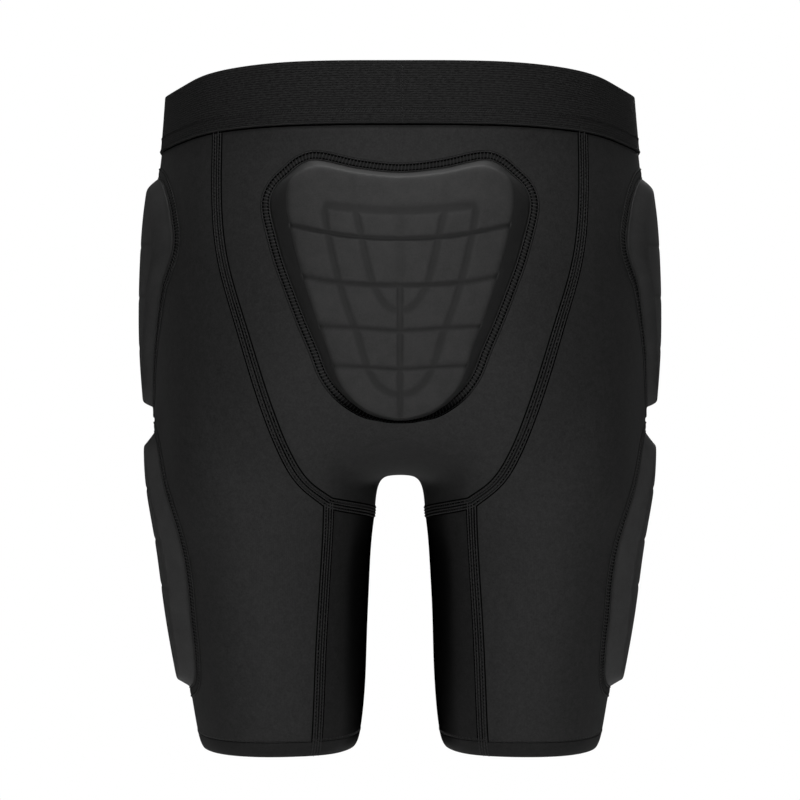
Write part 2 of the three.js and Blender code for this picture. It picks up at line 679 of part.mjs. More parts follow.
const tailOutline = (columns) => outline(TAIL_OUTLINE.map(columns), TAIL_WIDTH, TAIL_HEIGHT, TAIL_TOP);

// A point of the tail pad's face, from a share of half the width and of the height.
const tailSpot = ([x, down]) => new THREE.Vector2((x * TAIL_WIDTH) / 2, TAIL_TOP - down * TAIL_HEIGHT);
const both = (half) => [...half, ...half.slice(0, -1).map(([x, down]) => [-x, down]).reverse()];

// Grooves of the tail pad. half: route from the right edge to the middle, mirrored to the left.
const TAIL_GROOVES = [
  { half: [[0.9, 0.25], [0.57, 0.282], [0.33, 0.3], [0, 0.308]], width: FINE_GROOVE, steps: 6 },
  { half: [[0.79, 0.446], [0.53, 0.47], [0.25, 0.482], [0, 0.485]], width: FINE_GROOVE, steps: 6 },
  { half: [[0.66, 0.64], [0.36, 0.647], [0, 0.658]], width: FINE_GROOVE, steps: 4 },
  { half: [[0.54, 0.79], [0.24, 0.798], [0, 0.805]], width: FINE_GROOVE, steps: 4 },
  { half: [[0.6, 0.178], [0.15, 0.2], [0, 0.202]], width: BAR_GROOVE, steps: 4 },
  { half: [[0.595, 0.2], [0.5, 0.41], [0.38, 0.59], [0.23, 0.8], [0.07, 0.893], [0, 0.896]],
    width: LOOP_GROOVE, steps: 12 },
  { half: [[0.34, 0.22], [0.27, 0.36], [0.17, 0.525], [0.09, 0.57], [0, 0.58]],
    width: LOOP_GROOVE, steps: 8 },
].map(({ half, width, steps }) => ({ route: both(half).map(tailSpot), width, steps }));
TAIL_GROOVES.push({ route: [[0, 0.31], [0, 0.65], [0, 0.97]].map(tailSpot), width: FINE_GROOVE, steps: 3 });

// Outlines of the side pads, seen from the side. X is a share of half the width.
const HIP_PAD_OUTLINE = [
  { x: 0, down: 0 }, { x: 0.4, down: 0.003 }, { x: 0.7, down: 0.03 }, { x: 0.9, down: 0.1 },
  { x: 1, down: 0.22 }, { x: 0.98, down: 0.36 }, { x: 0.86, down: 0.5 }, { x: 0.7, down: 0.65 },
  { x: 0.58, down: 0.8 }, { x: 0.45, down: 0.93 }, { x: 0.22, down: 0.99 }, { x: 0, down: 1 },
];
const THIGH_PAD_OUTLINE = [
  { x: 0, down: 0 }, { x: 0.35, down: 0.004 }, { x: 0.62, down: 0.04 }, { x: 0.8, down: 0.13 },
  { x: 0.95, down: 0.26 }, { x: 1, down: 0.4 }, { x: 0.98, down: 0.55 }, { x: 0.92, down: 0.7 },
  { x: 0.86, down: 0.84 }, { x: 0.72, down: 0.95 }, { x: 0.4, down: 0.99 }, { x: 0, down: 1 },
];

// A side pad from its outline table, with level grooves at shares of its height.
function sidePad(rows, { width, height, top, thick, levels }) {
  const table = rows.map(({ x, down }) => [x, down]);
  const faceTop = top - WALL_RUN;
  const faceHeight = height - 2 * WALL_RUN;
  const faceWidth = width - 2 * WALL_RUN;
  const grooves = levels.map(({ down, reach }) => ({
    route: [-1, -0.5, 0, 0.5, 1].map(
      (share) => new THREE.Vector2((share * reach * faceWidth) / 2, top - down * height),
    ),
    width: FINE_GROOVE,
    steps: 5,
  }));
  return {
    view: FROM_RIGHT,
    base: outline(table, width, height, top),
    face: outline(table, faceWidth, faceHeight, faceTop),
    thick,
    grooves,
  };
}

const HIP_GROOVES = [{ down: 0.3, reach: 1 }, { down: 0.52, reach: 0.86 }, { down: 0.74, reach: 0.66 }];
const THIGH_GROOVES = [{ down: 0.22, reach: 0.92 }, { down: 0.42, reach: 1 }, { down: 0.6, reach: 0.96 }];

// Colours of the worn finishes: matt black knit, elastic and foam
const FINISH = {
  band: { color: 0x242424, roughness: 0.85 },
  knit: { color: 0x2a2a2a, roughness: 0.8 },
  side: { color: 0x1f1f1f, roughness: 0.8 },
  foam: { color: 0x343434, roughness: 0.7 },
};

const shorts = new THREE.Group();

function addPiece(name, geometry, finish) {
  const mesh = new THREE.Mesh(geometry, new THREE.MeshStandardMaterial({ ...finish, metalness: 0 }));
  mesh.name = name;
  shorts.add(mesh);
}

// Copy of a right-hand geometry for the left side.
function leftCopy(geometry) {
  const copy = geometry.clone();
  copy.scale(-1, 1, 1);
  copy.setIndex([...copy.index.array].reverse());
  copy.computeVertexNormals();
  return copy;
}

const surface = shortsSurface();
const hands = ['left', 'right'];
addPiece('waistband', panelGeometry(surface, 'waistband', BAND_PROUD, BAND_THICK), FINISH.band);
addPiece('back_panel', panelGeometry(surface, 'back_panel', 0, CLOTH), FINISH.knit);
addPiece('front_panel', panelGeometry(surface, 'front_panel', 0, CLOTH), FINISH.knit);
for (const hand of hands) {
  const [side, inner, hem] = ['side_panel', 'inner_thigh_panel', 'hem'].map((name) => `${name}_${hand}`);
  addPiece(side, panelGeometry(surface, side, 0, CLOTH), FINISH.side);
  addPiece(inner, panelGeometry(surface, inner, 0, CLOTH), FINISH.knit);
  addPiece(hem, panelGeometry(surface, hem, HEM_PROUD, HEM_THICK), FINISH.knit);
}

const body = new THREE.Mesh(
  geometryOf(surface.points, surface.faces.flatMap(({ corners }) => facetsOf(corners, surface.points))),
);
const filled = solidOf(filledBody(surface, PAD_SEAT));
const tailPad = {
  view: FROM_BEHIND,
  base: tailOutline(({ baseX, baseDown }) => [baseX, baseDown]),
  face: tailOutline(({ faceX, faceDown }) => [faceX, faceDown]),
  thick: TAIL_THICK,
  grooves: TAIL_GROOVES,
};
addPiece('tail_pad', finishedPad(body, filled, tailPad), FINISH.foam);
const sidePads = {
  hip_pad: sidePad(HIP_PAD_OUTLINE, {
    width: HIP_PAD_WIDTH,
    height: HIP_PAD_HEIGHT,
    top: HIP_PAD_TOP,
    thick: HIP_PAD_THICK,
    levels: HIP_GROOVES,
  }),
  thigh_pad: sidePad(THIGH_PAD_OUTLINE, {
    width: THIGH_PAD_WIDTH,
    height: THIGH_PAD_HEIGHT,
    top: THIGH_PAD_TOP,
    thick: THIGH_PAD_THICK,
    levels: THIGH_GROOVES,
  }),
};
for (const [name, pad] of Object.entries(sidePads)) {
  const right = finishedPad(body, filled, pad);
  addPiece(`${name}_right`, right, FINISH.foam);
  addPiece(`${name}_left`, leftCopy(right), FINISH.foam);
}

export default shorts;
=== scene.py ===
"""Padded hip protection shorts of black stretch knit, held open as on a body and lit for a studio picture."""

import logging
import math
from dataclasses import dataclass, field, replace
from enum import Enum
from typing import Callable, Iterable, Sequence

import bmesh
import bpy
import numpy as np
from mathutils import Matrix, Vector, noise
from mathutils.bvhtree import BVHTree
from mathutils.interpolate import poly_3d_calc


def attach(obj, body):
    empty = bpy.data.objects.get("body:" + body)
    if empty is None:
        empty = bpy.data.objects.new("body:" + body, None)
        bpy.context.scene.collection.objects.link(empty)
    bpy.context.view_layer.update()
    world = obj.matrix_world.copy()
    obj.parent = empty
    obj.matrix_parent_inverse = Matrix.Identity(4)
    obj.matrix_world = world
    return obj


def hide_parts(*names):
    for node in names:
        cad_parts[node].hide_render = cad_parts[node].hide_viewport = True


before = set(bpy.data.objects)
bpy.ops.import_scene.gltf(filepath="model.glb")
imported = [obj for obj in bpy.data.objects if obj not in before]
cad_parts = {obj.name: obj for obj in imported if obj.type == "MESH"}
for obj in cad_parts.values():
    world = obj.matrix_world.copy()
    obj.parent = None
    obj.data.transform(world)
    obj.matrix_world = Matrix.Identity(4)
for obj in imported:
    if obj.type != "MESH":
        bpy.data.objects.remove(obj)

logging.basicConfig(level=logging.INFO, format="%(message)s")
log = logging.getLogger("shorts")

Place = float | Vector | np.ndarray

WELD = 1e-5


class Panel(Enum):
    """Sewn pieces of the shorts. Each value is the name of the CAD node that the piece stands for."""

    WAISTBAND = "waistband"
    BACK = "back_panel"
    FRONT = "front_panel"
    SIDE_RIGHT = "side_panel_right"
    SIDE_LEFT = "side_panel_left"
    INNER_RIGHT = "inner_thigh_panel_right"
    INNER_LEFT = "inner_thigh_panel_left"
    HEM_RIGHT = "hem_right"
    HEM_LEFT = "hem_left"

    @property
    def number(self) -> int:
        """Material number that marks the panel's faces on the whole surface."""
        return list(Panel).index(self)


class Hand(Enum):
    """Side of the wearer."""

    RIGHT = 1
    LEFT = -1


@dataclass(frozen=True)
class BodyRing:
    """One ring round the body.

    Args:
        down: Depth below the foot of the waistband, as a share of the rise.
        outer: Half width as a share of the width there.
        back: Half depth behind, as a share of the depth there.
        front: Half depth in front, as a share of the depth there.
        seam: X of the panel seam as a share of the half width.
        rise: Share of the rise of the waist at the back.
        fall: Share of its fall at the front.
        dip: Share of its dip between side and back.
        middle: X of the ring's own centre as a share of the width.
        sag: How much lower the seam lies than the side, as a share of the rise.
    """

    down: float
    outer: float
    back: float
    front: float
    seam: float
    rise: float = 0.0
    fall: float = 0.0
    dip: float = 0.0
    middle: float = 0.0
    sag: float = 0.0


@dataclass(frozen=True)
class MiddleSpot:
    """Middle of the seat or the front at a body ring.

    Args:
        ring: Number of the body ring.
        y: Share of the half depth there.
        drop: Depth below the waistband as a share of the rise.
        arch: Degrees by which the seam lies down the side of the arch.
    """

    ring: int
    y: float
    drop: float
    arch: float


@dataclass(frozen=True)
class GussetRow:
    """One row across the gusset, in shares of the last body ring's depth, the rise and the leg gap."""

    y: float
    drop: float
    edge_x: float
    edge_y: float
    edge_drop: float
    arch: float


@dataclass(frozen=True)
class LegRing:
    """One ring round a leg.

    Args:
        down: Depth below the crotch as a share of the inseam.
        hem: How far the width has gone from the thigh's to the hem's.
        hem_deep: The same of its depth.
        gap: Inner side as a share of half the leg gap.
        seam: X of the inner leg seam inside the ring's centre, as a share of its half width.
    """

    down: float
    hem: float
    hem_deep: float
    gap: float
    seam: float


BODY_RINGS = (
    BodyRing(0, 0.49, 0.498, 0.473, 0.748, 1, 1, 1),
    BodyRing(0, 0.5, 0.512, 0.488, 0.734, 0.78, 1.27, 0.6),
    BodyRing(0.187, 0.492, 0.507, 0.462, 0.715, 0.7, 1.08, 0.3),
    BodyRing(0.374, 0.498, 0.534, 0.466, 0.68, 0.52, 0.77),
    BodyRing(0.557, 0.5, 0.5385, 0.457, 0.606, 0.26, 0.38),
    BodyRing(0.729, 0.497, 0.507, 0.43, 0.521, middle=0.11, sag=0.034),
    BodyRing(0.892, 0.492, 0.446, 0.4, 0.41, middle=0.215, sag=0.084),
    BodyRing(1.039, 0.486, 0.414, 0.385, 0.282, middle=0.262, sag=0.037),
)
WAIST_RINGS = 2
SEAT_LINE = (MiddleSpot(5, 1.017, 0.754, 50), MiddleSpot(6, 1.03, 0.892, 35), MiddleSpot(7, 0.75, 0.978, 15))
FRONT_LINE = (MiddleSpot(5, 0.98, 0.768, 50), MiddleSpot(6, 0.84, 0.906, 35), MiddleSpot(7, 0.57, 0.975, 15))
GUSSET = (
    GussetRow(-0.35, 0.999, 0.625, -0.47, 0.106, 5),
    GussetRow(0, 1, 0.495, 0, 0.12, 0),
    GussetRow(0.26, 0.998, 0.625, 0.47, 0.106, 5),
)
LEG_RINGS = (
    LegRing(0.267, 0.12, 0.03, 1.13, 0.59),
    LegRing(0.539, 0.36, 0.34, 1.28, 0.55),
    LegRing(0.771, 0.585, 0.557, 1.37, 0.51),
    LegRing(0.9449, 0.81, 0.8, 1.56, 0.5),
    LegRing(1, 1, 1, 1.78, 0.5),
)
BODY_ROUNDNESS = 2.3
LEG_ROUNDNESS = 2.15
SEAT_ROUNDNESS = 2.0
FORK_ROUNDNESS = 3.0


def lerp(start: Place, end: Place, share: float) -> Place:
    """Value between two others.

    Args:
        start: Number or vector at share 0.
        end: Number or vector at share 1.
        share: How far to go.

    Returns:
        The number or vector in between.
    """
    return start + (end - start) * share


def bulge(cosine: float, half: float, roundness: float) -> float:
    """Coordinate of a rounded section.

    Args:
        cosine: Cosine or sine of the place round the section.
        half: Half size of the section in metres.
        roundness: Exponent of the section, where 2 is an ellipse.

    Returns:
        The coordinate in metres.
    """
    return math.copysign(1, cosine) * half * abs(cosine) ** (2 / roundness)


def angle_at(share: float, roundness: float) -> float:
    """Angle at which a rounded section reaches a share of its half width.

    Args:
        share: Share of the half width.
        roundness: Exponent of the section.

    Returns:
        The angle from the side, in radians.
    """
    limited = max(-0.97, min(0.97, share))
    return math.acos(math.copysign(abs(limited) ** (roundness / 2), limited))


def spread(start: float, end: float, steps: int) -> list[float]:
    """Evenly spaced values with both ends.

    Args:
        start: First value.
        end: Last value.
        steps: Number of steps between them.

    Returns:
        The values.
    """
    return [lerp(start, end, i / steps) for i in range(steps + 1)]


def mirrored(point: Vector) -> Vector:
    """Point on the other side of the middle.

    Args:
        point: Point in the row frame.

    Returns:
        Its mirror image.
    """
    return Vector((-point.x, point.y, point.z))


@dataclass
class ShortsCut:
    """Sizes of the shorts in metres, and the net of points that their surface passes through."""

    waist_width: float = 0.304
    waist_depth: float = 0.205
    hip_width: float = 0.317
    hip_depth: float = 0.221
    thigh_width: float = 0.134
    thigh_depth: float = 0.166
    hem_width: float = 0.0964
    hem_depth: float = 0.122
    leg_gap: float = 0.0325
    rise: float = 0.203
    inseam: float = 0.1732
    waist_rise: float = 0.0123
    waist_fall: float = 0.007
    waist_dip: float = 0.005
    band_height: float = 0.038
    band_relaxed: float = 0.0015
    leg_back_share: float = 0.51
    strip_faces: int = 4
    side_faces: int = 6

    @property
    def band_foot(self) -> float:
        """Height of the foot of the waistband at the side."""
        return -self.band_height / 2

    @property
    def crotch(self) -> float:
        """Height of the crotch."""
        return self.band_foot - self.rise

    def _ring_sizes(self, number: int) -> tuple[float, float, float, float, float]:
        """Sizes of a body ring.

        Args:
            number: Number of the ring from the top.

        Returns:
            Height, half width, half depths behind and in front, and x of its centre.
        """
        ring = BODY_RINGS[number]
        waist = number < WAIST_RINGS
        width = self.waist_width if waist else self.hip_width
        depth = self.waist_depth if waist else self.hip_depth
        z = self.band_foot - ring.down * self.rise
        if number == 0:
            z = self.band_height / 2 - self.band_relaxed
        return z, ring.outer * width, ring.back * depth, ring.front * depth, ring.middle * width

    def seam_angle(self, number: int) -> float:
        """Angle from the side to the panel seam.

        Args:
            number: Number of the body ring.

        Returns:
            The angle in radians.
        """
        _, outer, _, _, middle = self._ring_sizes(number)
        return angle_at((BODY_RINGS[number].seam * outer - middle) / (outer - middle), BODY_ROUNDNESS)

    def body_point(self, number: int, angle: float) -> Vector:
        """Point of a body ring.

        Args:
            number: Number of the ring.
            angle: Angle from the side, negative towards the back.

        Returns:
            The point in the row frame.
        """
        ring = BODY_RINGS[number]
        z, outer, back, front, middle = self._ring_sizes(number)
        behind = angle < 0
        y = bulge(math.sin(angle), back if behind else front, BODY_ROUNDNESS)
        x = middle + bulge(math.cos(angle), outer - middle, BODY_ROUNDNESS)
        sag = ring.sag * self.rise * (angle / self.seam_angle(number)) ** 2
        lift = -ring.rise * self.waist_rise if behind else -ring.fall * self.waist_fall
        dip = ring.dip * self.waist_dip * math.sin(4 * angle) * math.cos(angle) ** 2 if behind else 0.0
        return Vector((x, y, z + bulge(math.sin(angle), lift, BODY_ROUNDNESS) - sag + dip))

    def leg_point(self, ring: LegRing, angle: float) -> Vector:
        """Point of a ring of the right leg.

        Args:
            ring: The ring.
            angle: Angle from the outer side, negative towards the back.

        Returns:
            The point in the row frame.
        """
        width = lerp(self.thigh_width, self.hem_width, ring.hem)
        depth = lerp(self.thigh_depth, self.hem_depth, ring.hem_deep)
        centre = ring.gap * self.leg_gap / 2 + width / 2
        reach = depth * (self.leg_back_share if math.sin(angle) < 0 else 1 - self.leg_back_share)
        return Vector((
            centre + bulge(math.cos(angle), width / 2, LEG_ROUNDNESS),
            bulge(math.sin(angle), reach, LEG_ROUNDNESS),
            self.crotch - ring.down * self.inseam,
        ))

    @staticmethod
    def _arch(seam: Vector, middle: Vector, arch: float, share: float, roundness: float) -> Vector:
        """Point across the arch between the two seams.

        Args:
            seam: Point of the seam at one side.
            middle: Point of the middle line.
            arch: Degrees by which the seam lies down the side of the arch.
            share: 0 at the seam and 1 at the middle.
            roundness: Exponent of the arch.

        Returns:
            The point in the row frame.
        """
        low = math.radians(arch)
        angle = lerp(low, math.pi / 2, share)
        lowest = bulge(math.sin(low), 1, roundness)
        rise = (bulge(math.sin(angle), 1, roundness) - lowest) / (1 - lowest)
        x = seam.x * bulge(math.cos(angle), 1, roundness) / bulge(math.cos(low), 1, roundness)
        return Vector((x, lerp(seam.y, middle.y, rise), lerp(seam.z, middle.z, rise)))

    def _strip_row(self, number: int, side: int, line: Sequence[MiddleSpot]) -> list[Vector]:
        """Right half of a row of the back or front panel.

        Args:
            number: Number of the body ring.
            side: -1 behind and 1 in front.
            line: Middle spots of that side.

        Returns:
            Points from the middle out to the seam.
        """
        shares = spread(0, 1, self.strip_faces // 2)
        seam = self.seam_angle(number)
        place = next((row for row in line if row.ring == number), None)
        if place is None:
            return [self.body_point(number, side * lerp(math.pi / 2, seam, share)) for share in shares]
        _, _, back, front, _ = self._ring_sizes(number)
        depth = back if side < 0 else front
        middle = Vector((0, side * place.y * depth, self.band_foot - place.drop * self.rise))
        edge = self.body_point(number, side * seam)
        return [self._arch(edge, middle, place.arch, 1 - share, SEAT_ROUNDNESS) for share in shares]

    def _gusset_row(self, row: GussetRow) -> list[Vector]:
        """Right half of a row of the gusset.

        Args:
            row: The row's shares.

        Returns:
            Points from the middle out to the edge.
        """
        _, _, back, front, _ = self._ring_sizes(len(BODY_RINGS) - 1)
        depth = (back + front) / 2
        low = self.crotch - row.edge_drop * self.rise
        edge = Vector((row.edge_x * self.leg_gap, row.edge_y * depth, low))
        middle = Vector((0, row.y * depth, self.band_foot - row.drop * self.rise))
        shares = spread(0, 1, self.strip_faces // 2)
        return [self._arch(edge, middle, row.arch, 1 - share, FORK_ROUNDNESS) for share in shares]

    def patches(self) -> Iterable[tuple[list[list[Vector]], Callable[[int], Panel]]]:
        """Patches of the whole shorts, each as rows of points and the panel of each row of faces.

        Yields:
            Rows from the top down, each from left to right as seen from outside, and the panel's rule.
        """
        last_ring = len(BODY_RINGS) - 1
        numbers = range(len(BODY_RINGS))
        back = [self._strip_row(i, -1, SEAT_LINE) for i in numbers]
        front = [self._strip_row(i, 1, FRONT_LINE) for i in numbers]
        strip = back + [self._gusset_row(row) for row in GUSSET] + front[::-1]
        back_rows = last_ring + len(GUSSET)

        def strip_panel(row: int) -> Panel:
            if row in (0, len(strip) - 2):
                return Panel.WAISTBAND
            return Panel.BACK if row < back_rows else Panel.FRONT

        yield [[mirrored(p) for p in half[:0:-1]] + half for half in strip], strip_panel
        side = []
        for i in numbers:
            seam = self.seam_angle(i)
            side.append([self.body_point(i, angle) for angle in spread(-seam, seam, self.side_faces)])
        edge = [half[-1] for half in strip[last_ring : len(strip) - last_ring]][::-1]
        inner = [edge]
        for ring in LEG_RINGS:
            seam = angle_at(-ring.seam, LEG_ROUNDNESS)
            side.append([self.leg_point(ring, angle) for angle in spread(-seam, seam, self.side_faces)])
            round_inside = spread(seam, 2 * math.pi - seam, len(edge) - 1)
            inner.append([self.leg_point(ring, angle) for angle in round_inside])
        for hand in Hand:
            right = hand is Hand.RIGHT
            panels = {name: Panel[f"{name}_{hand.name}"] for name in ("SIDE", "INNER", "HEM")}

            def place(rows: list[list[Vector]]) -> list[list[Vector]]:
                return rows if right else [[mirrored(p) for p in row][::-1] for row in rows]

            def outer_panel(row: int) -> Panel:
                if row == 0:
                    return Panel.WAISTBAND
                return panels["HEM"] if row == len(side) - 2 else panels["SIDE"]

            def inner_panel(row: int) -> Panel:
                return panels["HEM"] if row == len(inner) - 2 else panels["INNER"]

            yield place(side), outer_panel
            yield place(inner), inner_panel


def object_of(name: str, mesh: bpy.types.Mesh) -> bpy.types.Object:
    """Links a mesh into the scene.

    Args:
        name: Name of the object.
        mesh: Its mesh.

    Returns:
        The new object.
    """
    mesh.name = name
    made = bpy.data.objects.new(name, mesh)
    bpy.context.scene.collection.objects.link(made)
    return made


def mesh_of(name: str, bm: bmesh.types.BMesh) -> bpy.types.Mesh:
    """Turns an edit mesh into a smooth shaded mesh and frees it.

    Args:
        name: Name of the mesh.
        bm: The edit mesh.

    Returns:
        The mesh.
    """
    mesh = bpy.data.meshes.new(name)
    bm.to_mesh(mesh)
    bm.free()
    mesh.shade_smooth()
    return mesh


def settled_mesh(holder: bpy.types.Object) -> bpy.types.Mesh:
    """Mesh of an object with its modifiers applied. The object is removed.

    Args:
        holder: Object with modifiers.

    Returns:
        The new mesh.
    """
    bpy.context.view_layer.update()
    graph = bpy.context.evaluated_depsgraph_get()
    shown = holder.evaluated_get(graph)
    mesh = bpy.data.meshes.new_from_object(shown, preserve_all_data_layers=True, depsgraph=graph)
    bpy.data.objects.remove(holder)
    return mesh


def coordinates(mesh: bpy.types.Mesh) -> np.ndarray:
    """Vertex places of a mesh.

    Args:
        mesh: The mesh.

    Returns:
        One row of three numbers for each vertex.
    """
    flat = np.empty(len(mesh.vertices) * 3)
    mesh.vertices.foreach_get("co", flat)
    return flat.reshape(-1, 3)


def set_coordinates(mesh: bpy.types.Mesh, places: np.ndarray) -> None:
    """Moves the vertices of a mesh.

    Args:
        mesh: The mesh.
        places: One row of three numbers for each vertex.
    """
    mesh.vertices.foreach_set("co", places.ravel())
    mesh.update()


def patch(bm: bmesh.types.BMesh, rows: Sequence[Sequence[Vector]]) -> tuple[list, list]:
    """Grid of faces through rows of points that run from left to right, bottom row first.

    Args:
        bm: Edit mesh to add to.
        rows: The points.

    Returns:
        Its vertices in the rows' order, and its faces as pairs of row number and face.
    """
    across = len(rows[0])
    verts = bmesh.ops.create_grid(bm, x_segments=across - 1, y_segments=len(rows) - 1, size=1)["verts"]
    order = {}
    for i, (vert, point) in enumerate(zip(verts, (point for row in rows for point in row))):
        vert.co = point
        order[vert] = i
    found = {face for vert in verts for face in vert.link_faces}
    faces = [(min(order[vert] for vert in face.verts) // across, face) for face in found]
    return verts, sorted(faces, key=lambda pair: min(order[vert] for vert in pair[1].verts))


class Surface:
    """The smooth outer surface of the shorts, with the panel of each face."""

    LEVELS = 4
    FIT_PASSES = 12
    UNEVEN = 0.00022
    UNEVEN_SCALE = 26.0

    def __init__(self, cut: ShortsCut) -> None:
        """Builds the surface.

        Args:
            cut: Sizes of the shorts.
        """
        self.cut = cut
        self.mesh = self._rounded(self._net())
        self._press_creases()
        self.places = coordinates(self.mesh)
        self.tree = self._tree()

    def _net(self) -> bmesh.types.BMesh:
        """Coarse net whose rounded surface passes through the cut's points.

        Returns:
            The net as an edit mesh, with cloth coordinates in metres.
        """
        bm = bmesh.new()
        cloth = bm.loops.layers.uv.new("cloth")
        for rows, panel_of in self.cut.patches():
            rows = rows[::-1]
            verts, faces = patch(bm, rows)
            across = len(rows[0])
            grid = np.array([[list(point) for point in row] for row in rows])
            step_u = np.linalg.norm(np.diff(grid, axis=1), axis=2).mean(axis=0)
            step_v = np.linalg.norm(np.diff(grid, axis=0), axis=2).mean(axis=1)
            us = np.concatenate([[0], np.cumsum(step_u)])
            vs = np.concatenate([[0], np.cumsum(step_v)])
            order = {vert: i for i, vert in enumerate(verts)}
            for row, face in faces:
                face.material_index = panel_of(len(rows) - 2 - row).number
                for loop in face.loops:
                    number = order[loop.vert]
                    loop[cloth].uv = (us[number % across] - us[-1] / 2, vs[number // across])
        bmesh.ops.remove_doubles(bm, verts=bm.verts, dist=WELD)
        self._fit(bm)
        return bm

    def _fit(self, bm: bmesh.types.BMesh) -> None:
        """Moves the net's vertices so that the rounded surface passes through where they were.

        Args:
            bm: The net.
        """
        targets = [vert.co.copy() for vert in bm.verts]
        for _ in range(self.FIT_PASSES):
            limits = [self._limit(vert) for vert in bm.verts]
            for vert, target, limit in zip(bm.verts, targets, limits):
                vert.co += target - limit

    @staticmethod
    def _limit(vert: bmesh.types.BMVert) -> Vector:
        """Where a vertex comes to lie when the net is rounded without end.

        Args:
            vert: Vertex of the net.

        Returns:
            The point on the rounded surface.
        """
        if vert.is_boundary:
            rim = [edge.other_vert(vert).co for edge in vert.link_edges if edge.is_boundary]
            return (sum(rim, Vector()) + 4 * vert.co) / 6
        near = [edge.other_vert(vert).co for edge in vert.link_edges]
        opposite = []
        for face in vert.link_faces:
            corners = list(face.verts)
            opposite.append(corners[(corners.index(vert) + 2) % 4].co)
        n = len(near)
        return (4 * sum(near, Vector()) + sum(opposite, Vector()) + n * n * vert.co) / (n * (n + 5))

    def _rounded(self, bm: bmesh.types.BMesh) -> bpy.types.Mesh:
        """Rounded surface of the net.

        Args:
            bm: The net.

        Returns:
            A fine mesh.
        """
        holder = object_of("surface", mesh_of("surface", bm))
        for panel in Panel:
            holder.data.materials.append(bpy.data.materials.new(f"mark_{panel.value}"))
        rounded = holder.modifiers.new("rounded", "SUBSURF")
        rounded.levels = rounded.render_levels = self.LEVELS
        rounded.use_limit_surface = True
        return settled_mesh(holder)

    def _press_creases(self) -> None:
        """Adds the slight unevenness and the few soft creases of cloth that is worn tight."""
        places = coordinates(self.mesh)
        normals = np.array([tuple(vert.normal) for vert in self.mesh.vertices])
        lift = np.zeros(len(places))
        for crease in CREASES:
            lift += crease.lift(places)
        for i, place in enumerate(places):
            lift[i] += self.UNEVEN * noise.noise(Vector(place) * self.UNEVEN_SCALE)
        set_coordinates(self.mesh, places + normals * lift[:, None])

    def _tree(self) -> BVHTree:
        """Search tree over the surface.

        Returns:
            The tree.
        """
        bm = bmesh.new()
        bm.from_mesh(self.mesh)
        tree = BVHTree.FromBMesh(bm)
        bm.free()
        return tree

    def cling(self, point: Vector) -> tuple[Vector, Vector]:
        """Nearest point of the surface.

        Args:
            point: Any point near it.

        Returns:
            The point on the surface and the way out of it.
        """
        found, normal, _, _ = self.tree.find_nearest(point)
        return found, normal

    def way_out(self, face: int, place: Vector) -> Vector:
        """Way out of the surface, blended between a face's corners.

        Args:
            face: Number of the face.
            place: Point on it.

        Returns:
            A unit vector.
        """
        corners = [self.mesh.vertices[i] for i in self.mesh.polygons[face].vertices]
        shares = poly_3d_calc([corner.co for corner in corners], place)
        return sum((corner.normal * share for corner, share in zip(corners, shares)), Vector()).normalized()

    def trails(self, one: Sequence[Panel], other: Sequence[Panel]) -> list[np.ndarray]:
        """Lines along which two groups of panels meet.

        Args:
            one: Panels on one side.
            other: Panels on the other side.

        Returns:
            Each line as ordered points, of which a closed one repeats its first point.
        """
        groups = {panel.number: 1 for panel in one} | {panel.number: 2 for panel in other}
        sides: dict[tuple[int, int], int] = {}
        for face in self.mesh.polygons:
            mark = groups.get(face.material_index, 0)
            for key in face.edge_keys:
                sides[key] = sides.get(key, 0) | mark
        links: dict[int, list[int]] = {}
        for (a, b), mark in sides.items():
            if mark == 3:
                links.setdefault(a, []).append(b)
                links.setdefault(b, []).append(a)
        lines = []
        starts = sorted(links, key=lambda i: len(links[i]))
        seen: set[int] = set()
        for start in starts:
            if start in seen:
                continue
            line = [start]
            seen.add(start)
            while True:
                following = [i for i in links[line[-1]] if i not in seen]
                if not following:
                    break
                line.append(following[0])
                seen.add(following[0])
            if len(line) > 2 and line[0] in links[line[-1]]:
                line.append(line[0])
            lines.append(self.places[line])
        return lines


@dataclass(frozen=True)
class Crease:
    """Soft ridge or hollow in the cloth.

    Args:
        start: One end in the row frame.
        end: Other end.
        width: How far it spreads to each side, in metres.
        height: How far it lifts the cloth, negative for a hollow.
    """

    start: tuple[float, float, float]
    end: tuple[float, float, float]
    width: float
    height: float

    def lift(self, places: np.ndarray) -> np.ndarray:
        """Height that it adds at each place.

        Args:
            places: One row for each vertex.

        Returns:
            One height for each vertex.
        """
        a, b = np.array(self.start), np.array(self.end)
        along = b - a
        share = np.clip(((places - a) @ along) / (along @ along), 0, 1)
        away = np.linalg.norm(places - (a + share[:, None] * along), axis=1)
        fade = np.sin(np.pi * np.clip(share, 0.02, 0.98)) ** 0.5
        return self.height * np.exp(-((away / self.width) ** 2)) * fade

    def mirrored(self) -> "Crease":
        """The same crease on the other side of the middle.

        Returns:
            The new crease.
        """
        return replace(self, start=(-self.start[0], *self.start[1:]), end=(-self.end[0], *self.end[1:]))


SIDE_CREASES = (
    Crease((-0.078, -0.105, -0.188), (-0.052, -0.1, -0.214), 0.004, 0.0006),
    Crease((-0.052, -0.095, -0.222), (-0.03, -0.08, -0.212), 0.003, 0.0007),
    Crease((-0.115, -0.09, -0.24), (-0.07, -0.085, -0.262), 0.006, 0.0004),
    Crease((-0.04, 0.085, -0.2), (-0.085, 0.088, -0.17), 0.006, 0.0007),
)
CREASES = (
    *(crease for left in SIDE_CREASES for crease in (left, left.mirrored())),
    Crease((-0.006, -0.107, -0.0115), (0.006, -0.107, -0.0115), 0.002, -0.0006),
    Crease((-0.01, -0.107, -0.017), (0.01, -0.107, -0.017), 0.003, 0.0004),
)


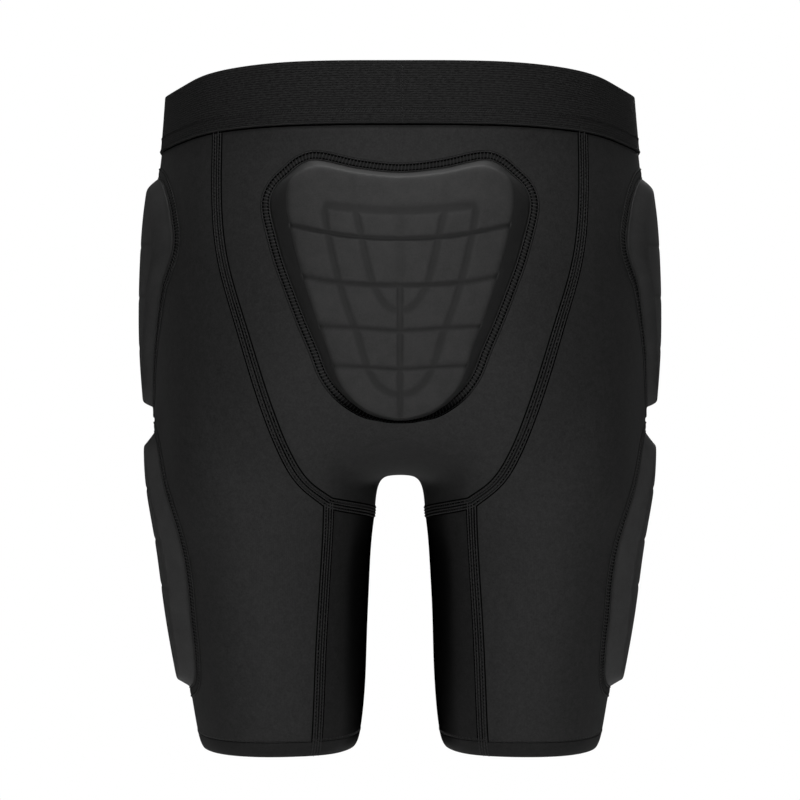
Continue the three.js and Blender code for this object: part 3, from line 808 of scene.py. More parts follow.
def srgb(code: str) -> tuple[float, float, float, float]:
    """Colour from its hex code.

    Args:
        code: Six hex digits as seen on a screen.

    Returns:
        Linear red, green, blue and alpha.
    """
    values = [int(code[i : i + 2], 16) / 255 for i in (0, 2, 4)]
    linear = [v / 12.92 if v <= 0.04045 else ((v + 0.055) / 1.055) ** 2.4 for v in values]
    return (*linear, 1.0)


WAVE_PERIOD = 2 * math.pi / 20  # period of a band texture at scale 1
Socket = bpy.types.NodeSocket


class Shade:
    """A node material in the making, with the few kinds of node that the finishes share."""

    def __init__(self, name: str) -> None:
        """Starts an empty material.

        Args:
            name: Name of the real material.
        """
        self.material = bpy.data.materials.new(name)
        self.material.use_nodes = True
        self.tree = self.material.node_tree
        self.tree.nodes.clear()

    def node(self, kind: str, inputs: dict, **settings: str) -> bpy.types.Node:
        """Adds a node with its settings, values and links.

        Args:
            kind: Type of the node, without the prefix that all shader nodes share.
            inputs: Value, or socket to link from, for each input by name or number.
            settings: Properties of the node.

        Returns:
            The node.
        """
        node = self.tree.nodes.new(f"ShaderNode{kind}")
        for key, value in settings.items():
            setattr(node, key, value)
        for key, value in inputs.items():
            if isinstance(value, Socket):
                self.tree.links.new(value, node.inputs[key])
            else:
                node.inputs[key].default_value = value
        return node

    def place(self) -> Socket:
        """Place on the piece, in metres.

        Returns:
            The coordinates.
        """
        return self.node("TexCoord", {}).outputs["Object"]

    def cloth(self) -> Socket:
        """Place along and across the cloth, in metres.

        Returns:
            The coordinates.
        """
        return self.node("UVMap", {}, uv_map="cloth").outputs["UV"]

    def groove(self) -> Socket:
        """Darkness that the mesh carries: its pressed grooves, and painted shade in seams, on pad walls,
        under overhangs and where the cloth turns in between the legs.

        Returns:
            The darkness from 0 to 1.
        """
        return self.node("Attribute", {}, attribute_name="groove").outputs["Fac"]

    def noise(self, place: Socket, scale: float, detail: float = 2.0, roughness: float = 0.6) -> Socket:
        """Irregular grain.

        Args:
            place: Coordinates.
            scale: How fine it is.
            detail: Levels of detail.
            roughness: Weight of the finer levels.

        Returns:
            Its value from 0 to 1.
        """
        inputs = {"Vector": place, "Scale": scale, "Detail": detail, "Roughness": roughness}
        return self.node("TexNoise", inputs).outputs["Fac"]

    def waves(self, cloth: Socket, axis: str, period: float, distortion: float, detail: float = 2.0,
              detail_scale: float = 1.0) -> Socket:
        """Even ribs.

        Args:
            cloth: Coordinates.
            axis: X or Y, across the ribs.
            period: Distance between ribs in metres.
            distortion: How uneven they are.
            detail: Levels of detail in the unevenness.
            detail_scale: How fine it is.

        Returns:
            Their value from 0 to 1.
        """
        inputs = {
            "Vector": cloth, "Scale": WAVE_PERIOD / period, "Distortion": distortion, "Detail": detail,
            "Detail Scale": detail_scale,
        }
        return self.node("TexWave", inputs, wave_type="BANDS", bands_direction=axis).outputs["Fac"]

    def added(self, part: Socket, weight: float, whole: Socket) -> Socket:
        """Adds a weighted value to another.

        Args:
            part: Value to weigh.
            weight: Its weight.
            whole: Value to add it to.

        Returns:
            The sum.
        """
        return self.node("Math", {0: part, 1: weight, 2: whole}, operation="MULTIPLY_ADD").outputs[0]

    def ranged(self, value: Socket, low: float, high: float) -> Socket:
        """Stretches a range of a value to 0 to 1.

        Args:
            value: The value.
            low: What becomes 0.
            high: What becomes 1.

        Returns:
            The stretched value.
        """
        return self.node("MapRange", {"Value": value, "From Min": low, "From Max": high}).outputs["Result"]

    def fading(self, groove: Socket, gloss: float) -> Socket:
        """Gloss that goes away with the painted shade that the mesh carries.

        Args:
            groove: The darkness that the mesh carries.
            gloss: Specular level elsewhere.

        Returns:
            The specular level.
        """
        return self.node("MapRange", {"Value": groove, "To Min": gloss, "To Max": 0.0}).outputs["Result"]

    def mixed(self, share: Socket, one: tuple | Socket, other: tuple | Socket) -> Socket:
        """Colour between two others.

        Args:
            share: Share of the other one.
            one: Linear colour, or a socket that gives one.
            other: The same.

        Returns:
            The colour.
        """
        return self.node("Mix", {"Factor": share, 6: one, 7: other}, data_type="RGBA").outputs[2]

    def bump(self, height: Socket, distance: float, strength: float = 1.0) -> Socket:
        """Fine relief that is too small to model.

        Args:
            height: Its height from 0 to 1.
            distance: Its full height in metres.
            strength: Its strength.

        Returns:
            The normal.
        """
        inputs = {"Height": height, "Strength": strength, "Distance": distance}
        return self.node("Bump", inputs).outputs["Normal"]

    def finished(self, colour: tuple | Socket, normal: Socket, roughness: float,
                 gloss: float | Socket) -> bpy.types.Material:
        """Closes the material with its surface.

        Args:
            colour: Its colour.
            normal: Its normal.
            roughness: Its roughness.
            gloss: Its specular level.

        Returns:
            The material.
        """
        shader = self.node("BsdfPrincipled", {
            "Base Color": colour, "Normal": normal, "Roughness": roughness, "Specular IOR Level": gloss,
        })
        self.node("OutputMaterial", {"Surface": shader.outputs[0]})
        return self.material


@dataclass(frozen=True)
class KnitFinish:
    """Matt warp knit of polyamide and elastane.

    The eye gets an even near-black cloth with a soft mottled tone, and close up fine ribs down the
    cloth crossed by finer courses.

    Args:
        name: Name of the material.
        colour: Hex colour of the cloth.
        tint: Hex colour of its lighter mottling.
        deep: Hex colour of the painted shade where it turns in between the legs.
        rib: Distance between ribs in metres. The real one is about 0.4 mm; it is drawn coarser so
            that it shows at all in the picture.
        relief: Height of the ribs in metres.
        roughness: Roughness of the fibres.
        gloss: Specular level. This weak gloss makes the cloth darker where it turns away.
    """

    name: str = "stretch_knit"
    colour: str = "151515"
    tint: str = "252525"
    deep: str = "010101"
    rib: float = 0.0009
    relief: float = 0.000015
    roughness: float = 0.7
    gloss: float = 0.25

    def material(self) -> bpy.types.Material:
        """Builds the material.

        Returns:
            The material.
        """
        shade = Shade(self.name)
        cloth, place, groove = shade.cloth(), shade.place(), shade.groove()
        ribs = shade.waves(cloth, "X", self.rib, 0.6, 1.0, 2.0)
        courses = shade.waves(cloth, "Y", 0.8 * self.rib, 0.4)
        mottling = shade.noise(place, 280.0, 5.0, 0.75)
        tone = shade.ranged(shade.added(shade.noise(place, 900.0), 0.9, mottling), 0.65, 1.25)
        worn = shade.mixed(tone, srgb(self.colour), srgb(self.tint))
        # painted shade between the legs: the colour turns to deep and the gloss goes where the groove
        # attribute says
        colour = shade.mixed(groove, worn, srgb(self.deep))
        normal = shade.bump(shade.added(courses, 0.6, ribs), self.relief)
        return shade.finished(colour, normal, self.roughness, shade.fading(groove, self.gloss))


SHADED_HEM_KNIT = KnitFinish("hem_knit", "101010", "1d1d1d", gloss=0.18)  # darker copy of the knit: painted shade at the foot of the legs
INNER_KNIT = KnitFinish("inner_thigh_knit", "0f0f0f", "1e1e1e", gloss=0.16)  # thinner cloth, deeper black


@dataclass(frozen=True)
class ElasticFinish:
    """Woven elastic of the waistband.

    The eye gets a dense matt band whose fine cross ribs show as short broken lines.
    """

    name: str = "waistband_elastic"
    colour: str = "080808"
    tint: str = "262626"
    rib: tuple[float, float] = (0.0019, 0.0007)
    relief: float = 0.0002

    def material(self) -> bpy.types.Material:
        """Builds the material.

        Returns:
            The material.
        """
        shade = Shade(self.name)
        cloth = shade.cloth()
        across, up = self.rib
        stretched = shade.node("Mapping", {"Vector": cloth, "Scale": (1 / across, 1 / up, 1.0)})
        dashes = shade.noise(stretched.outputs["Vector"], 1.0)
        picks = shade.waves(cloth, "Y", 2 * up, 2.0, 2.0, 3.0)
        grain = shade.noise(shade.place(), 700.0, 3.0, 0.7)
        height = shade.added(grain, 0.4, shade.added(picks, 0.25, dashes))
        colour = shade.mixed(shade.ranged(height, 0.6, 1.05), srgb(self.colour), srgb(self.tint))
        return shade.finished(colour, shade.bump(height, self.relief), 0.75, 0.13)


@dataclass(frozen=True)
class FoamFinish:
    """Moulded foam laminated with a brushed knit.

    The eye gets a greyer, finely grained face, darker in its pressed grooves and in the shade painted on its
    walls.
    """

    name: str = "pad_foam"
    colour: str = "1e1e1e"
    tint: str = "2d2d2d"
    # colour of the pressed grooves and of the painted shade on the walls
    pressed: str = "0b0b0b"
    relief: float = 0.00008

    def material(self) -> bpy.types.Material:
        """Builds the material.

        Returns:
            The material.
        """
        shade = Shade(self.name)
        place = shade.place()
        grain = shade.noise(place, 1100.0)
        tone = shade.ranged(shade.added(grain, 0.6, shade.noise(place, 90.0, 6.0, 0.75)), 0.5, 1.1)
        face = shade.mixed(tone, srgb(self.colour), srgb(self.tint))
        colour = shade.mixed(shade.groove(), face, srgb(self.pressed))
        return shade.finished(colour, shade.bump(grain, self.relief), 0.7, 0.3)


LIT_THIGH_FOAM = FoamFinish("thigh_pad_foam", "292929", "3a3a3a", "101010")  # lighter copy of the pad foam: painted light on the thigh pads


@dataclass(frozen=True)
class ThreadFinish:
    """Bulked polyester sewing thread, a little lighter and silkier than the cloth."""

    name: str = "sewing_thread"
    colour: str = "222222"
    tint: str = "343434"
    # colour of the painted shade on the threads
    sunk: str = "020202"
    relief: float = 0.00005

    def material(self) -> bpy.types.Material:
        """Builds the material.

        Returns:
            The material.
        """
        shade = Shade(self.name)
        fibres = shade.noise(shade.place(), 1500.0)
        clean = shade.mixed(fibres, srgb(self.colour), srgb(self.tint))
        colour = shade.mixed(shade.groove(), clean, srgb(self.sunk))
        return shade.finished(colour, shade.bump(fibres, self.relief), 0.55, 0.12)


@dataclass(frozen=True)
class SeamFinish:
    """Cloth pressed flat under a seam's threads, with painted shade in the sunk needle lines."""

    name: str = "seam_knit"
    colour: str = "1f1f1f"
    # colour of the painted shade
    sunk: str = "020202"
    relief: float = 0.00008

    def material(self) -> bpy.types.Material:
        """Builds the material.

        Returns:
            The material.
        """
        shade = Shade(self.name)
        groove = shade.groove()
        colour = shade.mixed(groove, srgb(self.colour), srgb(self.sunk))
        normal = shade.bump(shade.noise(shade.place(), 900.0), self.relief)
        return shade.finished(colour, normal, 0.75, shade.fading(groove, 0.22))


@dataclass(frozen=True)
class PaperFinish:
    """Seamless white studio paper."""

    name: str = "studio_paper"
    colour: str = "f4f4f4"

    def material(self) -> bpy.types.Material:
        """Builds the material.

        Returns:
            The material.
        """
        shade = Shade(self.name)
        grain = shade.noise(shade.place(), 300.0, 2.0, 0.5)
        return shade.finished(srgb(self.colour), shade.bump(grain, 0.0005, 0.2), 0.9, 0.5)


@dataclass(frozen=True)
class BackdropFinish:
    """White studio backdrop that is lit so strongly that it shows as plain white."""

    name: str = "studio_backdrop"
    colour: str = "ffffff"
    brightness: float = 1.0

    def material(self) -> bpy.types.Material:
        """Builds the material.

        Returns:
            The material.
        """
        shade = Shade(self.name)
        glow = shade.node("Emission", {"Color": srgb(self.colour), "Strength": self.brightness})
        shade.node("OutputMaterial", {"Surface": glow.outputs[0]})
        return shade.material


@dataclass
class Wardrobe:
    """All finishes, built once."""

    knit: bpy.types.Material = field(default_factory=lambda: KnitFinish().material())
    inner: bpy.types.Material = field(default_factory=lambda: INNER_KNIT.material())
    elastic: bpy.types.Material = field(default_factory=lambda: ElasticFinish().material())
    foam: bpy.types.Material = field(default_factory=lambda: FoamFinish().material())
    pale_foam: bpy.types.Material = field(default_factory=lambda: LIT_THIGH_FOAM.material())
    hem: bpy.types.Material = field(default_factory=lambda: SHADED_HEM_KNIT.material())
    thread: bpy.types.Material = field(default_factory=lambda: ThreadFinish().material())
    seam: bpy.types.Material = field(default_factory=lambda: SeamFinish().material())


def dress(piece: bpy.types.Object, material: bpy.types.Material) -> bpy.types.Object:
    """Gives a piece its material and its body.

    Args:
        piece: The piece.
        material: Its material.

    Returns:
        The piece.
    """
    piece.data.materials.clear()
    piece.data.materials.append(material)
    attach(piece, "root")
    log.info("%s: %d faces", piece.name, len(piece.data.polygons))
    return piece


@dataclass(frozen=True)
class ClothKind:
    """How one panel is made up.

    Args:
        thick: Thickness in metres.
        proud: How far it stands out of the surface.
        fold: Radius of its rolled edges, 0 for none.
        gap: How far its sewn edges stay back from the seam.
        flat: Width and length of the cut before sewing.
        share: Share of that rectangle that the cut fills. Not used.
    """

    thick: float
    proud: float
    fold: float
    gap: float
    flat: tuple[float, float]
    share: float


@dataclass
class Panels:
    """The sewn cloth panels, the waistband and the hems."""

    surface: Surface
    wardrobe: Wardrobe
    cloth: float = 0.002

    def kind(self, panel: Panel) -> ClothKind:
        """How a panel is made up.

        Args:
            panel: The panel.

        Returns:
            Its make-up.
        """
        kinds = {
            Panel.WAISTBAND: ClothKind(0.003, 0.0008, 0.0006, 0.0009, (0.82, 0.04), 1.0),
            Panel.BACK: ClothKind(self.cloth, 0, 0, 0.0002, (0.25, 0.3), 0.7),
            Panel.FRONT: ClothKind(self.cloth, 0, 0, 0.0002, (0.24, 0.22), 0.7),
            Panel.SIDE_RIGHT: ClothKind(self.cloth, 0, 0, 0.0002, (0.24, 0.38), 0.9),
            Panel.INNER_RIGHT: ClothKind(self.cloth, 0, 0, 0.0002, (0.19, 0.16), 0.8),
            Panel.HEM_RIGHT: ClothKind(0.003, 0.0001, 0.0006, 0.0002, (0.36, 0.01), 1.0),
        }
        same = {
            Panel.SIDE_LEFT: Panel.SIDE_RIGHT,
            Panel.INNER_LEFT: Panel.INNER_RIGHT,
            Panel.HEM_LEFT: Panel.HEM_RIGHT,
        }
        return kinds[same.get(panel, panel)]

    def build(self) -> list[bpy.types.Object]:
        """Builds every panel.

        Returns:
            The panels.
        """
        return [self._panel(panel) for panel in Panel]

    def _panel(self, panel: Panel) -> bpy.types.Object:
        """Builds one panel as a wall of cloth with soft edges.

        Args:
            panel: The panel.

        Returns:
            The piece.
        """
        kind = self.kind(panel)
        bm = bmesh.new()
        bm.from_mesh(self.surface.mesh)
        bm.normal_update()
        open_rim = {tuple(vert.co) for vert in bm.verts if vert.is_boundary}
        normals = {tuple(vert.co): vert.normal.copy() for vert in bm.verts}
        others = [face for face in bm.faces if face.material_index != panel.number]
        bmesh.ops.delete(bm, geom=others, context="FACES")
        moves = {}
        for vert in bm.verts:
            key = tuple(vert.co)
            shift = normals[key] * kind.proud
            if vert.is_boundary and key not in open_rim:
                inside = [edge.other_vert(vert) for edge in vert.link_edges if not edge.is_boundary]
                if inside:
                    pull = sum((other.co - vert.co for other in inside), Vector()).normalized()
                    shift = shift + pull * kind.gap
            moves[vert] = shift
        for vert, shift in moves.items():
            vert.co += shift
        for face in bm.faces:
            face.material_index = 0
        piece = object_of(f"{panel.value}_cloth", mesh_of(panel.value, bm))
        wall = piece.modifiers.new("wall", "SOLIDIFY")
        wall.thickness = kind.thick
        wall.offset = -1
        wall.use_even_offset = True
        if kind.fold:
            fold = piece.modifiers.new("fold", "BEVEL")
            fold.width = kind.fold
            fold.segments = 3
            fold.limit_method = "ANGLE"
            fold.angle_limit = math.radians(50)
        mesh = settled_mesh(piece)
        mesh.shade_smooth()
        # painted shade between the legs on the inner and hem cloth
        if panel.value.startswith(("inner", "hem")):
            self._paint_leg_shade(mesh)
        piece = object_of(f"{panel.value}_cloth", mesh)
        material = self.wardrobe.elastic if panel is Panel.WAISTBAND else self.wardrobe.knit
        if panel in (Panel.INNER_RIGHT, Panel.INNER_LEFT):
            material = self.wardrobe.inner
        if panel in (Panel.HEM_RIGHT, Panel.HEM_LEFT):
            material = self.wardrobe.hem
        dress(piece, material)
        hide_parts(panel.value)
        width, length = kind.flat
        return piece

    @staticmethod
    def _paint_leg_shade(mesh: bpy.types.Mesh) -> None:
        """Paints shade where the cloth turns towards the other leg, by how far its normal points inwards.

        Args:
            mesh: Mesh of a leg's cloth.
        """
        inwards = [-vert.normal.x * math.copysign(1, vert.co.x) for vert in mesh.vertices]
        share = np.clip((np.array(inwards, dtype=np.float32) - 0.8) / 0.19, 0, 1)
        layer = mesh.attributes.new("groove", "FLOAT", "POINT")
        layer.data.foreach_set("value", share * share * (3 - 2 * share))


@dataclass
class Route:
    """Line along the surface with the way along, across and out at each point.

    Args:
        points: Ordered points.
        closed: Whether it ends where it starts.
    """

    points: np.ndarray
    along: np.ndarray
    across: np.ndarray
    out: np.ndarray
    closed: bool

    @classmethod
    def laid(cls, surface: Surface, line: np.ndarray, pitch: float) -> "Route":
        """Lays a line onto the surface in even steps.

        Args:
            surface: The surface.
            line: Ordered points near it.
            pitch: Length of a step in metres.

        Returns:
            The route.
        """
        closed = bool(np.linalg.norm(line[0] - line[-1]) < 1e-6)
        lengths = np.concatenate([[0], np.cumsum(np.linalg.norm(np.diff(line, axis=0), axis=1))])
        count = max(3, round(lengths[-1] / pitch))
        at = np.linspace(0, lengths[-1], count + 1)
        points = np.stack([np.interp(at, lengths, line[:, k]) for k in range(3)], axis=1)
        if closed:
            points = points[:-1]
        for _ in range(2):
            before = np.roll(points, 1, axis=0)
            after = np.roll(points, -1, axis=0)
            if not closed:
                before[0], after[-1] = points[0], points[-1]
            points = (before + 2 * points + after) / 4
        clung = [surface.cling(Vector(point)) for point in points]
        points = np.array([tuple(place) for place, _ in clung])
        out = np.array([tuple(normal) for _, normal in clung])
        if closed:
            along = np.roll(points, -1, axis=0) - np.roll(points, 1, axis=0)
        else:
            along = np.gradient(points, axis=0)
        along /= np.linalg.norm(along, axis=1)[:, None]
        across = np.cross(out, along)
        across /= np.linalg.norm(across, axis=1)[:, None]
        return cls(points, along, across, out, closed)

    def moved(self, surface: Surface, aside: float) -> "Route":
        """The same line moved sideways along the surface.

        Args:
            surface: The surface.
            aside: How far, in metres.

        Returns:
            The new route.
        """
        line = self.points + self.across * aside
        if self.closed:
            line = np.concatenate([line, line[:1]])
        step = float(np.linalg.norm(np.diff(self.points, axis=0), axis=1).mean())
        return Route.laid(surface, line, step)


@dataclass(frozen=True)
class StitchRow:
    """One row of equal stitches along a route.

    Args:
        aside: Sideways place of the row's middle in metres.
        length: Length of a stitch along its own direction.
        width: Width of the thread.
        turn: Degrees by which each stitch turns from the route.
        shift: Share of a pitch by which the row starts later.
        lift: Height of the thread's middle above the cloth.
    """

    aside: float
    length: float
    width: float
    turn: float = 0.0
    shift: float = 0.0
    lift: float = 0.0001


@dataclass(frozen=True)
class Fade:
    """Painted shade on thread and pressed cloth that grows away from the origin along one axis.

    Args:
        axis: 0, 1 or 2.
        start: Distance at which it starts.
        end: Distance at which it is full.
        most: Darkness at the end, from 0 to 1.
    """

    axis: int
    start: float
    end: float
    most: float = 1.0

    def at(self, place: Sequence[float]) -> float:
        """Darkness at a place.

        Args:
            place: Point in the row frame.

        Returns:
            The darkness from 0 to 1.
        """
        share = min(max((abs(place[self.axis]) - self.start) / (self.end - self.start), 0), 1)
        return self.most * share * share * (3 - 2 * share)


EVEN = Fade(0, 1, 2, 0.0)
Profile = tuple[tuple[float, float, float], ...]


def both_sides(half: Profile) -> Profile:
    """Whole profile of a seam from its half.

    Args:
        half: Sideways place, height and painted shade of each line, from the edge to the middle.

    Returns:
        The half and its mirror image.
    """
    return half + tuple((-aside, height, shade) for aside, height, shade in half[::-1])


@dataclass
class Seam:
    """Flat seam: a strip of pressed cloth with rows of thread.

    Args:
        surface: Surface that it lies on.
        wardrobe: Finishes.
        pitch: Length of a stitch.
        profile: Sideways place, height and painted shade of each line of the strip.
        rows: Rows of thread.
        depth: How far the strip's underside lies below the cloth's face.
        fade: Where painted shade darkens it.
    """

    surface: Surface
    wardrobe: Wardrobe
    pitch: float
    profile: Profile = ()
    rows: tuple[StitchRow, ...] = ()
    depth: float = 0.0008
    fade: Fade = EVEN

    def wider(self, factor: float) -> "Seam":
        """The same seam with another width.

        Args:
            factor: Factor of its width.

        Returns:
            The new seam.
        """
        profile = tuple((aside * factor, height, shade) for aside, height, shade in self.profile)
        rows = tuple(
            replace(row, aside=row.aside * factor, length=row.length * (factor if row.turn > 45 else 1))
            for row in self.rows
        )
        return replace(self, profile=profile, rows=rows)

    def strip(self, name: str, lines: Sequence[np.ndarray], slot: str) -> bpy.types.Object:
        """Builds the pressed strip along several lines as one piece.

        Args:
            name: Name of the piece.
            lines: Lines to follow.
            slot: Material slot of the record. Not used.

        Returns:
            The piece.
        """
        bm = bmesh.new()
        dark = []
        for line in lines:
            route = Route.laid(self.surface, line, self.pitch / 2)
            rows = []
            for aside, height, shade in self.profile:
                rows.append(self._row(route, aside, height))
                dark.extend(max(shade, self.fade.at(spot)) for spot in rows[-1])
            for aside in (self.profile[-1][0], self.profile[0][0]):
                rows.append(self._row(route, aside, -self.depth))
                dark.extend([1.0] * len(rows[-1]))
            rows.append([spot.copy() for spot in rows[0]])
            dark.extend(self.fade.at(spot) for spot in rows[-1])
            patch(bm, rows)
        layer = bm.verts.layers.float.new("groove")
        for vert, shade in zip(bm.verts, dark):
            vert[layer] = shade
        bmesh.ops.remove_doubles(bm, verts=bm.verts, dist=WELD / 10)
        ends = [edge for edge in bm.edges if edge.is_boundary]
        bmesh.ops.holes_fill(bm, edges=ends, sides=0)
        bmesh.ops.recalc_face_normals(bm, faces=bm.faces)
        return dress(object_of(name, mesh_of(name, bm)), self.wardrobe.seam)

    def _row(self, route: Route, aside: float, height: float) -> list[Vector]:
        """One long line of the strip.

        Args:
            route: Route of the seam.
            aside: Its sideways place.
            height: Its height above the cloth.

        Returns:
            The points, with the first one again at the end of a closed route.
        """
        spots = []
        for point, across in zip(route.points, route.across):
            place, out = self.surface.cling(Vector(point + across * aside))
            spots.append(place + out * height)
        return spots + [spots[0].copy()] if route.closed else spots

    def threads(self, name: str, lines: Sequence[np.ndarray], slot: str) -> bpy.types.Object:
        """Builds all threads along several lines as one piece.

        Args:
            name: Name of the piece.
            lines: Lines to follow.
            slot: Material slot of the record. Not used.

        Returns:
            The piece.
        """
        bm = bmesh.new()
        bmesh.ops.create_uvsphere(bm, u_segments=5, v_segments=4, radius=0.5)
        bmesh.ops.rotate(bm, verts=bm.verts, matrix=Matrix.Rotation(math.pi / 2, 3, "Y"))
        bead = mesh_of("bead", bm)
        shape = coordinates(bead)
        places, frames = [], []
        for line in lines:
            route = Route.laid(self.surface, line, self.pitch)
            for row in self.rows:
                turn = math.radians(row.turn)
                along = route.along * math.cos(turn) + route.across * math.sin(turn)
                across = np.cross(route.out, along)
                middles = route.points + route.across * row.aside + route.along * (row.shift * self.pitch)
                for i, middle in enumerate(middles):
                    place, out = self.surface.cling(Vector(middle))
                    places.append(np.array(place + out * row.lift))
                    size = (row.length, row.width, row.width)
                    frames.append(np.stack([along[i], across[i], route.out[i]]) * np.array(size)[:, None])
        holder = object_of(name, bead)
        copies = holder.modifiers.new("copies", "ARRAY")
        copies.count = len(places)
        copies.use_relative_offset = False
        mesh = settled_mesh(holder)
        spots = np.einsum("vk,nkj->nvj", shape, np.array(frames)) + np.array(places)[:, None, :]
        set_coordinates(mesh, spots.reshape(-1, 3))
        mesh.shade_smooth()
        dark = np.repeat([self.fade.at(place) for place in places], len(shape))
        mesh.attributes.new("groove", "FLOAT", "POINT").data.foreach_set("value", dark.astype(np.float32))
        return dress(object_of(name, mesh), self.wardrobe.thread)


class View(Enum):
    """Direction from which a pad's outline is drawn."""

    BEHIND = "behind"
    RIGHT = "right"

    def point(self, u: float, v: float) -> Vector:
        """Starting point of a sight line.

        Args:
            u: First coordinate as seen.
            v: Second coordinate as seen.

        Returns:
            The point far outside the shorts.
        """
        return Vector((u, -1, v)) if self is View.BEHIND else Vector((1, u, v))

    @property
    def inwards(self) -> Vector:
        """Direction of sight."""
        return Vector((0, 1, 0)) if self is View.BEHIND else Vector((-1, 0, 0))

    def flat(self, vector: Vector) -> np.ndarray:
        """A vector as seen.

        Args:
            vector: Vector in the row frame.

        Returns:
            Its two coordinates in the view.
        """
        return np.array((vector.x, vector.z) if self is View.BEHIND else (vector.y, vector.z))


@dataclass(frozen=True)
class Groove:
    """Groove pressed into a pad.

    Args:
        route: Points as seen in the pad's view, in metres.
        width: Width in metres.
        depth: Depth in metres.
        flatness: Exponent of its section, where a high one has a flat bed.
        tone: How dark its bed is, from 0 to 1.
    """

    route: tuple[tuple[float, float], ...]
    width: float
    depth: float
    flatness: float = 2.0
    tone: float = 1.0

    def press(self, spots: np.ndarray) -> np.ndarray:
        """Share of the full depth at each spot.

        Args:
            spots: Spots as seen, one row each.

        Returns:
            Shares from 0 to 1.
        """
        route = smooth_line(np.array(self.route), 60)
        away = np.full(len(spots), 1.0)
        for a, b in zip(route[:-1], route[1:]):
            along = b - a
            share = np.clip(((spots - a) @ along) / (along @ along), 0, 1)
            away = np.minimum(away, np.linalg.norm(spots - (a + share[:, None] * along), axis=1))
        return 1 / (1 + (away / (self.width / 2)) ** (2 * self.flatness))


def smooth_line(points: np.ndarray, count: int, closed: bool = False) -> np.ndarray:
    """Smooth line through points.

    Args:
        points: The points, one row each.
        count: Number of points on the line.
        closed: Whether it goes round.

    Returns:
        Points of the line.
    """
    n = len(points)
    spans = n if closed else n - 1
    at = np.arange(count) * spans / count if closed else np.linspace(0, spans, count)
    base = np.minimum(at.astype(int), spans - 1)
    t = (at - base)[:, None]

    def pick(i: np.ndarray) -> np.ndarray:
        return points[i % n] if closed else points[np.clip(i, 0, n - 1)]

    p0, p1, p2, p3 = (pick(base + k) for k in (-1, 0, 1, 2))
    return 0.5 * (
        2 * p1 + (p2 - p0) * t + (2 * p0 - 5 * p1 + 4 * p2 - p3) * t**2 + (3 * p1 - p0 - 3 * p2 + p3) * t**3
    )


